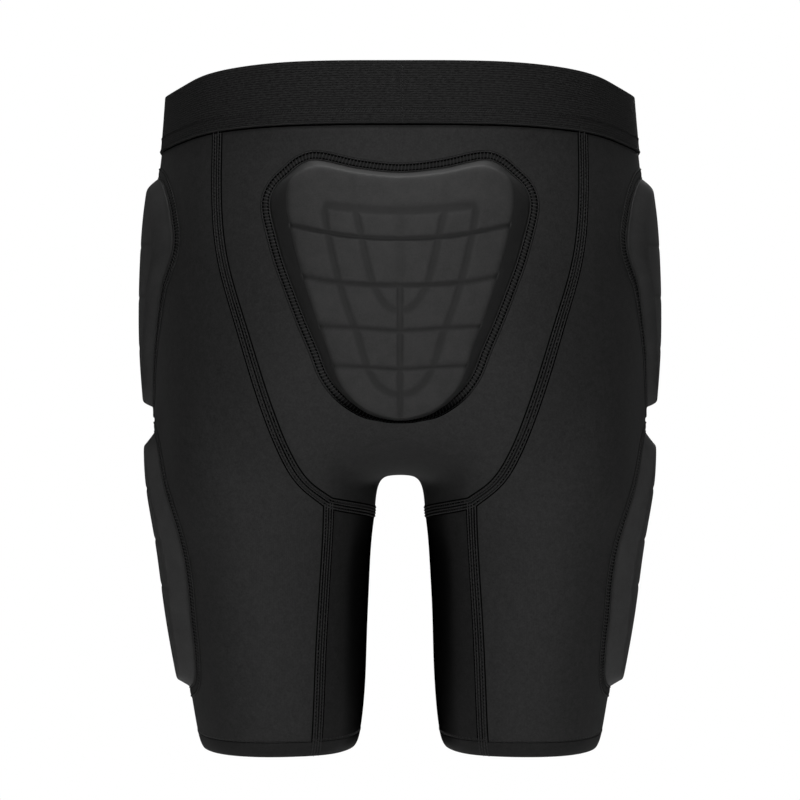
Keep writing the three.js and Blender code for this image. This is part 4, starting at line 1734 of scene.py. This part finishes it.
@dataclass
class Pad:
    """Moulded pad: a pressed rim, a sloped wall and a crowned, grooved face.

    Args:
        name: Name of the CAD node.
        view: View in which it is drawn.
        base: Sewn edge as seen.
        face: Shoulder of the face as seen, with one point for each of the base.
        thick: Height of the shoulder above the cloth.
        grooves: Its grooves.
        shoulder: Softness of the shoulder, 0 sharp and 1 round.
        wall_shade: Painted shade on the wall, from 0 to 1.
        foot_shadow: Painted shadow on the wall where it faces down at the lowest end.
        face_tone: Painted shade on the face, from 0 to 1.
        chamfer: Height of the soft break of the shoulder.
        tuck: Share by which its seam hides below the overhanging foot.
        edge: Height of the pressed rim.
        crown: How much thicker the middle is than the shoulder.
        puff: How far the face swells just inside the shoulder.
        around: Points round it.
        wall_rings: Rings up its wall.
        step: Distance between the rings of its face.
        sole: Height of its underside, which is sunk into the cloth.
        upper: Share of its thickness above which the grooves are pressed in.
    """

    name: str
    view: View
    base: np.ndarray
    face: np.ndarray
    thick: float
    grooves: tuple[Groove, ...]
    shoulder: float = 0.35
    # painted shade on the wall, painted shadow on its down-facing foot, painted shade on the face
    wall_shade: float = 0.0
    foot_shadow: float = 0.0
    face_tone: float = 0.0
    chamfer: float = 0.0006
    tuck: float = 0.0
    edge: float = 0.0012
    crown: float = 0.0014
    puff: float = 0.0004
    around: int = 400
    wall_rings: int = 12
    step: float = 0.0011
    sole: float = -0.0012
    upper: float = 0.88

    def _height(self, wall: float) -> float:
        """Height of the wall above the cloth.

        Args:
            wall: 0 at the rim and 1 at the shoulder.

        Returns:
            The height in metres.
        """
        steep = wall**1.1
        soft = math.sin(wall * math.pi / 2)
        return lerp(self.edge, self.thick - self.chamfer, lerp(steep, soft, self.shoulder))

    def _top(self, share: float, reach: float) -> float:
        """Height of the face above the cloth.

        Args:
            share: 0 in the middle of the face and 1 at the shoulder.
            reach: Distance from the middle to the shoulder.

        Returns:
            The height in metres.
        """
        broken = self.chamfer * math.exp(-(1 - share) * reach / (1.2 * self.chamfer))
        swollen = self.puff * (1 - math.exp(-(1 - share) * 40))
        return self.thick - broken + self.crown * (1 - share**2) + swollen

    @staticmethod
    def _outwards(loop: np.ndarray) -> np.ndarray:
        """Ways out of a closed line as seen.

        Args:
            loop: Its points.

        Returns:
            One unit vector for each point.
        """
        ahead = np.roll(loop, -1, axis=0) - np.roll(loop, 1, axis=0)
        side = np.stack([ahead[:, 1], -ahead[:, 0]], axis=1)
        side /= np.linalg.norm(side, axis=1)[:, None]
        return side if ((loop - loop.mean(axis=0)) * side).sum() > 0 else -side

    def rim(self, surface: Surface, outside: float) -> np.ndarray:
        """Line on the cloth round the pad.

        Args:
            surface: The surface.
            outside: Distance outside its edge, in metres.

        Returns:
            A closed line.
        """
        loop = smooth_line(self.base, self.around, closed=True)
        side = self._outwards(loop)
        reach = outside * (1 - self.tuck * np.clip(-side[:, 1:], 0, 1) ** 4)
        places = [np.array(self._seen(surface, spot)[0]) for spot in loop + side * reach]
        return np.array(places + places[:1])

    def _seen(self, surface: Surface, spot: np.ndarray) -> tuple[Vector, Vector]:
        """First point of the surface that the view sees at a spot.

        Args:
            surface: The surface.
            spot: Spot as seen.

        Returns:
            The point and the way out of the surface.
        """
        place, _, face, _ = surface.tree.ray_cast(self.view.point(*spot), self.view.inwards)
        if place is None:
            raise ValueError(f"{self.name}: no cloth at {spot}")
        return place, surface.way_out(face, place)

    def _raised(self, surface: Surface, spot: np.ndarray, height: float) -> Vector:
        """Point at a height above the cloth that the view sees exactly at a spot.

        Args:
            surface: The surface.
            spot: Spot as seen.
            height: Height above the cloth.

        Returns:
            The point.
        """
        aim = spot
        found = Vector()
        for _ in range(3):
            place, normal = self._seen(surface, aim)
            found = place + normal * height
            aim = aim + spot - self.view.flat(found)
        return found

    def build(self, surface: Surface, wardrobe: Wardrobe) -> bpy.types.Object:
        """Builds the pad.

        Args:
            surface: Surface that it is sewn to.
            wardrobe: Finishes.

        Returns:
            The piece.
        """
        base = smooth_line(self.base, self.around, closed=True)
        face = smooth_line(self.face, self.around, closed=True)
        centre = face.mean(axis=0)
        reach = np.linalg.norm(face - centre, axis=1).max()
        inner = max(8, round(reach / self.step))
        loops: list[tuple[np.ndarray, float, float]] = []
        for share in (0.0, 0.35, 0.7, 0.97):
            loops.append((lerp(centre, base, share), self.sole, 1.0))
        # the wall carries painted shade, and its foot a dark line of painted shade in the crevice beside the
        # seam
        for wall in np.linspace(0, 1, self.wall_rings):
            loops.append((lerp(base, face, wall), self._height(wall), max(self.wall_shade, 1 - 8 * wall)))
        close = [1 - away / reach for away in (0.0003, 0.0006, 0.001, 0.0015, 0.0021, 0.0028)]
        for share in [*close, *np.linspace(1 - 0.0037 / reach, 0, inner + 1)]:
            loops.append((lerp(centre, face, share), self._top(share, reach), -1.0))
        spots = np.concatenate([loop for loop, _, _ in loops])
        heights = np.repeat([height for _, height, _ in loops], self.around)
        tones = np.repeat([tone for _, _, tone in loops], self.around)
        # painted shadow on the wall where it faces down
        low = np.tile(np.clip(-self._outwards(base)[:, 1], 0, 1) ** 4 * self.foot_shadow, len(loops))
        # painted shade on the face, deepened by the pressed grooves' own darkness
        pressed = np.full(len(spots), self.face_tone)
        sunk = np.zeros(len(spots))
        for groove in self.grooves:
            share = groove.press(spots)
            pressed = np.maximum(pressed, share * groove.tone)
            sunk = np.maximum(sunk, share * groove.depth)
        upper = heights > self.upper * self.thick
        heights = np.where(upper, heights - sunk, heights)
        placed = [self._raised(surface, spot, height) for spot, height in zip(spots, heights)]
        rows = [placed[i : i + self.around] for i in range(0, len(placed), self.around)]
        shades = np.where(tones < 0, pressed, np.maximum(tones, low)).reshape(len(rows), -1)
        bm = bmesh.new()
        patch(bm, [row + [row[0].copy()] for row in rows])
        layer = bm.verts.layers.float.new("groove")
        closed = np.concatenate([shades, shades[:, :1]], axis=1).ravel()
        for vert, shade in zip(bm.verts, closed):
            vert[layer] = shade
        bmesh.ops.remove_doubles(bm, verts=bm.verts, dist=WELD / 2)
        bmesh.ops.recalc_face_normals(bm, faces=bm.faces)
        piece = object_of(f"{self.name}_foam", mesh_of(self.name, bm))
        self._finish(piece, wardrobe, self.name)
        return piece

    @staticmethod
    def _finish(piece: bpy.types.Object, wardrobe: Wardrobe, node: str) -> None:
        """Dresses a pad and hides its CAD part.

        Args:
            piece: The pad.
            wardrobe: Finishes.
            node: CAD node that it stands for.
        """
        dress(piece, wardrobe.pale_foam if node.startswith("thigh") else wardrobe.foam)
        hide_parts(node)

    def build_left(self, right: bpy.types.Object, wardrobe: Wardrobe) -> bpy.types.Object:
        """Builds the pad of the other side.

        Args:
            right: The finished pad of the right side.
            wardrobe: Finishes.

        Returns:
            The piece.
        """
        bm = bmesh.new()
        bm.from_mesh(right.data)
        bmesh.ops.scale(bm, vec=(-1, 1, 1), verts=bm.verts)
        bmesh.ops.reverse_faces(bm, faces=bm.faces)
        node = self.name.replace("right", "left")
        piece = object_of(f"{node}_foam", mesh_of(node, bm))
        self._finish(piece, wardrobe, node)
        return piece


TAIL_TOP = -0.031
TAIL_SIZE = (0.155, 0.156)
# Sewn edge and shoulder of the tail pad: x and depth of each, as shares of half the width and of the height.
TAIL_OUTLINE = (
    (0, 0.05, 0, 0.065), (0.33, 0.033, 0.3, 0.052), (0.63, 0, 0.585, 0.023), (0.76, 0.013, 0.7, 0.027),
    (0.87, 0.057, 0.78, 0.045), (0.955, 0.098, 0.845, 0.073), (1, 0.145, 0.877, 0.12),
    (1, 0.195, 0.877, 0.185), (0.968, 0.265, 0.853, 0.245), (0.9, 0.385, 0.81, 0.345),
    (0.815, 0.5, 0.73, 0.48), (0.725, 0.615, 0.65, 0.6), (0.63, 0.725, 0.56, 0.72),
    (0.545, 0.83, 0.475, 0.845), (0.423, 0.91, 0.36, 0.92), (0.26, 0.97, 0.245, 0.962),
    (0.115, 0.994, 0.105, 0.986), (0, 1, 0, 0.993),
)
HIP_OUTLINE = (
    (0, 0), (0.35, 0.003), (0.6, 0.03), (0.75, 0.08), (0.85, 0.13), (0.935, 0.2), (0.995, 0.27), (1, 0.34),
    (0.935, 0.41), (0.85, 0.47), (0.79, 0.54), (0.727, 0.62), (0.658, 0.7), (0.58, 0.78), (0.51, 0.86),
    (0.415, 0.94), (0.21, 0.99), (0, 1),
)
THIGH_OUTLINE = (
    (0, 0), (0.35, 0.004), (0.62, 0.04), (0.8, 0.13), (0.95, 0.26), (1, 0.4), (0.98, 0.55), (0.92, 0.7),
    (0.86, 0.84), (0.72, 0.95), (0.4, 0.99), (0, 1),
)


def outline(half: Iterable[tuple[float, float]], width: float, height: float, top: float) -> np.ndarray:
    """Closed outline from the shares of its right half.

    Args:
        half: Share of half the width and share of the height down, from the top to the foot.
        width: Width in metres.
        height: Height in metres.
        top: Height of its top.

    Returns:
        Points round the whole outline.
    """
    right = [(x * width / 2, top - down * height) for x, down in half]
    left = [(-x, z) for x, z in right if x > 0][::-1]
    return np.array(right + left)


@dataclass
class PadSet:
    """The tail pad, the two hip pads and the two thigh pads."""

    surface: Surface
    wardrobe: Wardrobe
    fine: float = 0.003
    loop: float = 0.0044
    bar: float = 0.0055
    wall_run: float = 0.008

    def tail(self) -> Pad:
        """The pad over the tailbone.

        Returns:
            The pad.
        """
        width, height = TAIL_SIZE

        def both(half: Sequence[tuple[float, float]]) -> tuple[tuple[float, float], ...]:
            whole = [*half, *[(-x, down) for x, down in half[:-1]][::-1]]
            return tuple((x * width / 2, TAIL_TOP - down * height) for x, down in whole)

        bars = (
            ((0.86, 0.25), (0.57, 0.282), (0.33, 0.3), (0, 0.308)),
            ((0.765, 0.446), (0.53, 0.47), (0.25, 0.482), (0, 0.485)),
            ((0.635, 0.639), (0.36, 0.647), (0, 0.658)),
            ((0.525, 0.789), (0.24, 0.798), (0, 0.805)),
        )
        grooves = [Groove(both(bar), 0.8 * self.fine, 0.0009, 1.8, 0.9) for bar in bars]
        lintel = both(((0.56, 0.18), (0.3, 0.195), (0.15, 0.2), (0, 0.202)))
        grooves.append(Groove(lintel, self.bar, 0.0004, 3, 0.55))
        grooves.append(Groove(both((
            (0.52, 0.178), (0.585, 0.2), (0.545, 0.32), (0.487, 0.443), (0.438, 0.528), (0.38, 0.612),
            (0.33, 0.669), (0.284, 0.753), (0.235, 0.814), (0.175, 0.862), (0.09, 0.893), (0, 0.9),
        )), self.loop, 0.0004, 3, 0.6))
        grooves.append(Groove(both((
            (0.345, 0.2), (0.3, 0.3), (0.255, 0.4), (0.205, 0.485), (0.13, 0.55), (0.06, 0.577), (0, 0.582),
        )), self.loop, 0.0004, 3, 0.6))
        spine = tuple((0.0, TAIL_TOP - down * height) for down in (0.49, 0.7, 0.98))
        grooves.append(Groove(spine, 1.15 * self.fine, 0.0006, 2.5, 0.6))
        faint = tuple((0.0, TAIL_TOP - down * height) for down in (0.22, 0.35, 0.48))
        grooves.append(Groove(faint, self.bar, 0.0003, 2, 0.25))
        for hand in (1, -1):
            ends = ((0.37, 0.08), (0.345, 0.2))
            riser = tuple((hand * x * width / 2, TAIL_TOP - down * height) for x, down in ends)
            grooves.append(Groove(riser, self.loop, 0.0002, 2, 0.15))
        # the tail pad's wall carries painted shade and its lowest end painted shadow
        return Pad(
            "tail_pad", View.BEHIND,
            outline([(row[0], row[1]) for row in TAIL_OUTLINE], width, height, TAIL_TOP),
            outline([(row[2], row[3]) for row in TAIL_OUTLINE], width, height, TAIL_TOP),
            0.008, tuple(grooves), wall_shade=0.62, foot_shadow=1.0, chamfer=0.0011, tuck=1.5,
            around=440,
        )

    def side(self, name: str, rows: Sequence[tuple[float, float]], sizes: tuple[float, float, float, float],
             slope: float, levels: Sequence[tuple[float, float]], deep: float, **shape: float) -> Pad:
        """A pad of the right side.

        Args:
            name: Name of the CAD node.
            rows: Shares of its outline.
            sizes: Width, height, top and thickness.
            slope: How far the wall runs inwards at the front and rear.
            levels: Depth and reach of each groove as shares.
            deep: Depth of the grooves in metres.
            shape: Fields of the pad that shape its shoulder and crown.

        Returns:
            The pad.
        """
        width, height, top, thick = sizes
        grooves = []
        for down, reach in levels:
            half = reach * (width - 2 * slope) / 2
            z = top - down * height
            route = tuple((half * x, z) for x in (-1.0, -0.5, 0.0, 0.5, 1.0))
            grooves.append(Groove(route, 0.8 * self.fine, deep, 1.2, 0.55))
        face = outline(rows, width - 2 * slope, height - 1.5 * self.wall_run, top - self.wall_run)
        base = outline(rows, width, height, top)
        return Pad(name, View.RIGHT, base, face, thick, tuple(grooves), edge=0.0004, **shape)

    def all(self) -> list[Pad]:
        """All pads of the middle and the right side.

        Returns:
            The pads.
        """
        hip = self.side("hip_pad_right", HIP_OUTLINE, (0.125, 0.145, -0.0345, 0.007), 0.01,
                        ((0.3, 1.0), (0.52, 0.82), (0.74, 0.65)), 0.0003,
                        shoulder=0.85, crown=0.0014, chamfer=0.0001, puff=0.0)
        # the thigh pads' faces carry painted shade, on the lighter foam that paints light
        thigh = self.side("thigh_pad_right", THIGH_OUTLINE, (0.108, 0.162, -0.195, 0.0073), 0.013,
                          ((0.22, 0.9), (0.42, 0.98), (0.6, 0.96)), 0.0005,
                          shoulder=0.0, crown=0.0002, face_tone=0.3)
        return [self.tail(), hip, thigh]

    def build(self) -> list[Pad]:
        """Builds every pad.

        Returns:
            The pads that were built, without the mirrored ones.
        """
        pads = self.all()
        for pad in pads:
            piece = pad.build(self.surface, self.wardrobe)
            if pad.view is View.RIGHT:
                pad.build_left(piece, self.wardrobe)
        return pads


@dataclass(frozen=True)
class Softbox:
    """Soft rectangular light that faces the shorts.

    Args:
        name: Name of the light.
        place: Where it stands.
        size: Width and height in metres.
        watts: Power.
    """

    name: str
    place: tuple[float, float, float]
    size: tuple[float, float]
    watts: float

    def build(self, aim: Vector) -> None:
        """Sets the light up.

        Args:
            aim: Point that it faces.
        """
        data = bpy.data.lights.new(self.name, "AREA")
        data.shape = "RECTANGLE"
        data.size, data.size_y = self.size
        data.energy = self.watts
        light = bpy.data.objects.new(self.name, data)
        light.location = self.place
        light.rotation_mode = "QUATERNION"
        light.rotation_quaternion = (aim - Vector(self.place)).to_track_quat("-Z", "Y")
        bpy.context.scene.collection.objects.link(light)


LIGHTS = (
    Softbox("key", (0, -1.3, 0.3), (0.4, 0.3), 11),
    Softbox("fill", (0, -1.3, -0.7), (0.4, 0.3), 1.6),
    Softbox("top", (0, 0.08, 1.6), (0.9, 0.15), 31),
    Softbox("front", (0.3, 2.2, 0.9), (1.6, 1.2), 15),
    Softbox("side_right", (1.6, 1.3, 0.05), (0.5, 0.7), 1.4),
    Softbox("side_left", (-1.6, 1.3, 0.05), (0.5, 0.7), 1.4),
)


@dataclass
class Studio:
    """Camera, soft light, floor and backdrop."""

    distance: float = 1.7
    height: float = -0.1747
    lens: float = 119.53
    floor_height: float = -0.8
    floor_radius: float = 1.4
    dome_radius: float = 9.0
    ambient: float = 0.005
    aim: tuple[float, float, float] = (0, 0, -0.2)

    def camera(self) -> None:
        """Places the camera behind the shorts at the photograph's angle."""
        data = bpy.data.cameras.new("camera")
        data.lens = self.lens
        data.sensor_width = 36
        data.clip_end = 40
        camera = bpy.data.objects.new("camera", data)
        camera.location = (0, -self.distance, self.height)
        camera.rotation_euler = (math.pi / 2, 0, 0)
        bpy.context.scene.collection.objects.link(camera)
        bpy.context.scene.camera = camera

    def build(self) -> None:
        """Builds the studio round the shorts."""
        scene = bpy.context.scene
        scene.view_settings.view_transform = "Standard"
        world = bpy.data.worlds.new("studio")
        world.use_nodes = True
        background = world.node_tree.nodes["Background"]
        background.inputs["Color"].default_value = srgb("ffffff")
        background.inputs["Strength"].default_value = self.ambient
        scene.world = world
        for light in LIGHTS:
            light.build(Vector(self.aim))
        bm = bmesh.new()
        bmesh.ops.create_circle(bm, cap_ends=True, segments=96, radius=self.floor_radius)
        bmesh.ops.translate(bm, verts=bm.verts, vec=(0, 0, self.floor_height))
        floor = object_of("floor", mesh_of("floor", bm))
        floor.data.materials.append(PaperFinish().material())
        bm = bmesh.new()
        bmesh.ops.create_uvsphere(bm, u_segments=48, v_segments=24, radius=self.dome_radius)
        dome = object_of("backdrop", mesh_of("backdrop", bm))
        dome.data.materials.append(BackdropFinish().material())
        dome.visible_diffuse = dome.visible_glossy = dome.visible_shadow = False


@dataclass
class Shorts:
    """The whole pair of padded shorts."""

    cut: ShortsCut = field(default_factory=ShortsCut)

    def build(self) -> None:
        """Builds and dresses every piece."""
        surface = Surface(self.cut)
        wardrobe = Wardrobe()
        princess = []
        inseams = []
        for hand in Hand:
            side, inner = Panel[f"SIDE_{hand.name}"], Panel[f"INNER_{hand.name}"]
            princess += surface.trails([Panel.BACK, Panel.FRONT], [side, inner])
            inseams += surface.trails([side], [inner])
        crossing = surface.trails([Panel.BACK], [Panel.FRONT])
        waist = surface.trails([Panel.WAISTBAND], [p for p in Panel if p is not Panel.WAISTBAND])
        hems = []
        for hand in Hand:
            cloth = [Panel[f"SIDE_{hand.name}"], Panel[f"INNER_{hand.name}"]]
            hems += surface.trails([Panel[f"HEM_{hand.name}"]], cloth)
        Panels(surface, wardrobe).build()
        # the darkness in the profile paints shade in the sunk needle lines
        flat = Seam(
            surface, wardrobe, pitch=0.0023,
            profile=both_sides((
                (-0.0043, -0.0002, 0.0), (-0.0039, 0.0001, 1.0), (-0.0033, 0.0, 1.0), (-0.003, 0.0003, 0.0),
                (-0.0024, 0.0003, 0.0), (-0.0021, 0.0, 1.0), (-0.0015, 0.0, 1.0), (-0.0012, 0.0003, 0.0),
                (-0.0006, 0.0003, 0.0), (-0.0003, 0.0, 1.0),
            )),
            rows=(
                StitchRow(-0.0027, 0.002, 0.0007, lift=0.0004),
                StitchRow(-0.0009, 0.002, 0.0007, lift=0.0004, shift=0.5),
                StitchRow(0.0009, 0.002, 0.0007, lift=0.0004),
                StitchRow(0.0027, 0.002, 0.0007, lift=0.0004, shift=0.5),
            ),
        )
        flat.strip("panel_seams", princess, "stretch_knit")
        flat.threads("panel_seam_threads", princess, "stretch_knit")
        legs = [self._reaching(line, 0.0095) for line in inseams] + crossing
        flat.strip("inner_leg_seams", legs, "stretch_knit")
        flat.threads("inner_leg_seam_threads", legs, "stretch_knit")
        self._waist_seam(surface, wardrobe, waist)
        hem_stitch = Seam(surface, wardrobe, pitch=0.003, rows=(
            StitchRow(0.0014, 0.0022, 0.0005, lift=0.0),
            StitchRow(0.0004, 0.0018, 0.0004, turn=35, lift=0.0001),
        ))
        hem_stitch.threads("hem_threads", [self._upright(surface, line) for line in hems], "stretch_knit")
        # the darkness in the profile paints shade in the sunk needle lines; the fade paints the shadow below
        # the tail pad's overhang
        ladder = Seam(
            surface, wardrobe, pitch=0.0021,
            profile=both_sides((
                (-0.0037, -0.0002, 0.0), (-0.0034, 0.0001, 0.35), (-0.003, 0.0001, 0.35),
                (-0.0027, 0.0004, 0.0), (-0.0022, 0.0004, 0.0), (-0.002, 0.0001, 1.0),
                (-0.0013, 0.0001, 1.0), (-0.0011, 0.0002, 0.3),
            )),
            rows=(
                StitchRow(-0.0025, 0.0018, 0.0006, lift=0.0005),
                StitchRow(0.0025, 0.0018, 0.0006, lift=0.0005),
                StitchRow(0.0, 0.0046, 0.0008, turn=80, lift=0.0002, shift=0.5),
            ),
            fade=Fade(2, 0.162, 0.181),
        )
        tail, *sides = PadSet(surface, wardrobe).build()
        rims = [tail.rim(surface, 0.0031)]
        ladder.strip("tail_pad_seam", rims, "stretch_knit")
        ladder.threads("tail_pad_seam_threads", rims, "stretch_knit")
        wide = replace(ladder.wider(1.12), fade=EVEN)
        rims = [pad.rim(surface, 0.0034) for pad in sides]
        rims += [(line * np.array((-1, 1, 1)))[::-1] for line in rims]
        wide.strip("side_pad_seams", rims, "stretch_knit")
        wide.threads("side_pad_seam_threads", rims, "stretch_knit")

    @staticmethod
    def _reaching(line: np.ndarray, further: float) -> np.ndarray:
        """A line that goes on straight at its lower end.

        Args:
            line: Ordered points.
            further: How far it goes on, in metres.

        Returns:
            The longer line.
        """
        line = line if line[-1][2] < line[0][2] else line[::-1]
        way = line[-1] - line[-4]
        step = way / np.linalg.norm(way) * further / 4
        return np.concatenate([line, [line[-1] + step * i for i in (1, 2, 3, 4)]])

    @staticmethod
    def _upright(surface: Surface, line: np.ndarray) -> np.ndarray:
        """A closed level line in the order in which sideways means upwards.

        Args:
            surface: The surface.
            line: Ordered points.

        Returns:
            The line or its reverse.
        """
        route = Route.laid(surface, line, 0.01)
        return line if route.across[:, 2].mean() > 0 else line[::-1]

    def _waist_seam(self, surface: Surface, wardrobe: Wardrobe, waist: list[np.ndarray]) -> None:
        """Sews the waistband on: a dark strip in the seam that paints the shadow under the band's edge, its
        cover stitches and the band's own join.

        Args:
            surface: The surface.
            wardrobe: Finishes.
            waist: Line between the waistband and the panels.
        """
        lines = [self._upright(surface, line) for line in waist]
        # a near-black strip sunk in the seam paints the shadow under the band's proud lower edge
        shadow_strip = Seam(
            surface, wardrobe, pitch=0.005, depth=0.0016,
            profile=((-0.0016, -0.0009, 1.0), (0.0, -0.0006, 1.0), (0.0016, -0.0009, 1.0)),
        )
        shadow_strip.strip("waist_seam_shadow", lines, "stretch_knit")
        lip = Seam(surface, wardrobe, pitch=0.005, depth=-0.0004, profile=(
            (0.001, 0.0006, 0.0), (0.0011, 0.0011, 0.0), (0.0014, 0.0013, 0.0), (0.0017, 0.0011, 0.0),
            (0.0019, 0.0006, 0.0),
        ))
        lip.strip("waistband_lower_fold", lines, "waistband_elastic")
        # the fade paints shade on the cover threads towards the band's sides
        cover = Seam(surface, wardrobe, pitch=0.0016, rows=(
            StitchRow(0.0026, 0.0012, 0.0004, lift=0.0008),
            StitchRow(0.0096, 0.0013, 0.0006, lift=0.0009),
            StitchRow(0.0085, 0.0021, 0.0005, turn=50, lift=0.0007, shift=0.5),
            StitchRow(0.0052, 0.0046, 0.0005, turn=76, lift=0.0006, shift=0.25),
        ), fade=Fade(0, 0.03, 0.13, 0.9))
        cover.threads("waistband_threads", lines, "waistband_elastic")
        foot = max((point for line in waist for point in line if abs(point[0]) < 0.005), key=lambda p: -p[1])
        join = np.array([(0.0016, foot[1], foot[2] + up) for up in spread(0.001, 0.0355, 12)])
        stitches = Seam(surface, wardrobe, pitch=0.0017, rows=(
            StitchRow(0.0, 0.0012, 0.0008, lift=0.0011),
            StitchRow(0.0009, 0.001, 0.0005, turn=60, lift=0.0009, shift=0.5),
        ))
        stitches.threads("waistband_join_threads", [join], "waistband_elastic")


def main() -> None:
    """Builds the whole scene."""
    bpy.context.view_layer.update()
    studio = Studio()
    studio.camera()
    Shorts().build()
    studio.build()


if __name__ == "__main__":
    main()
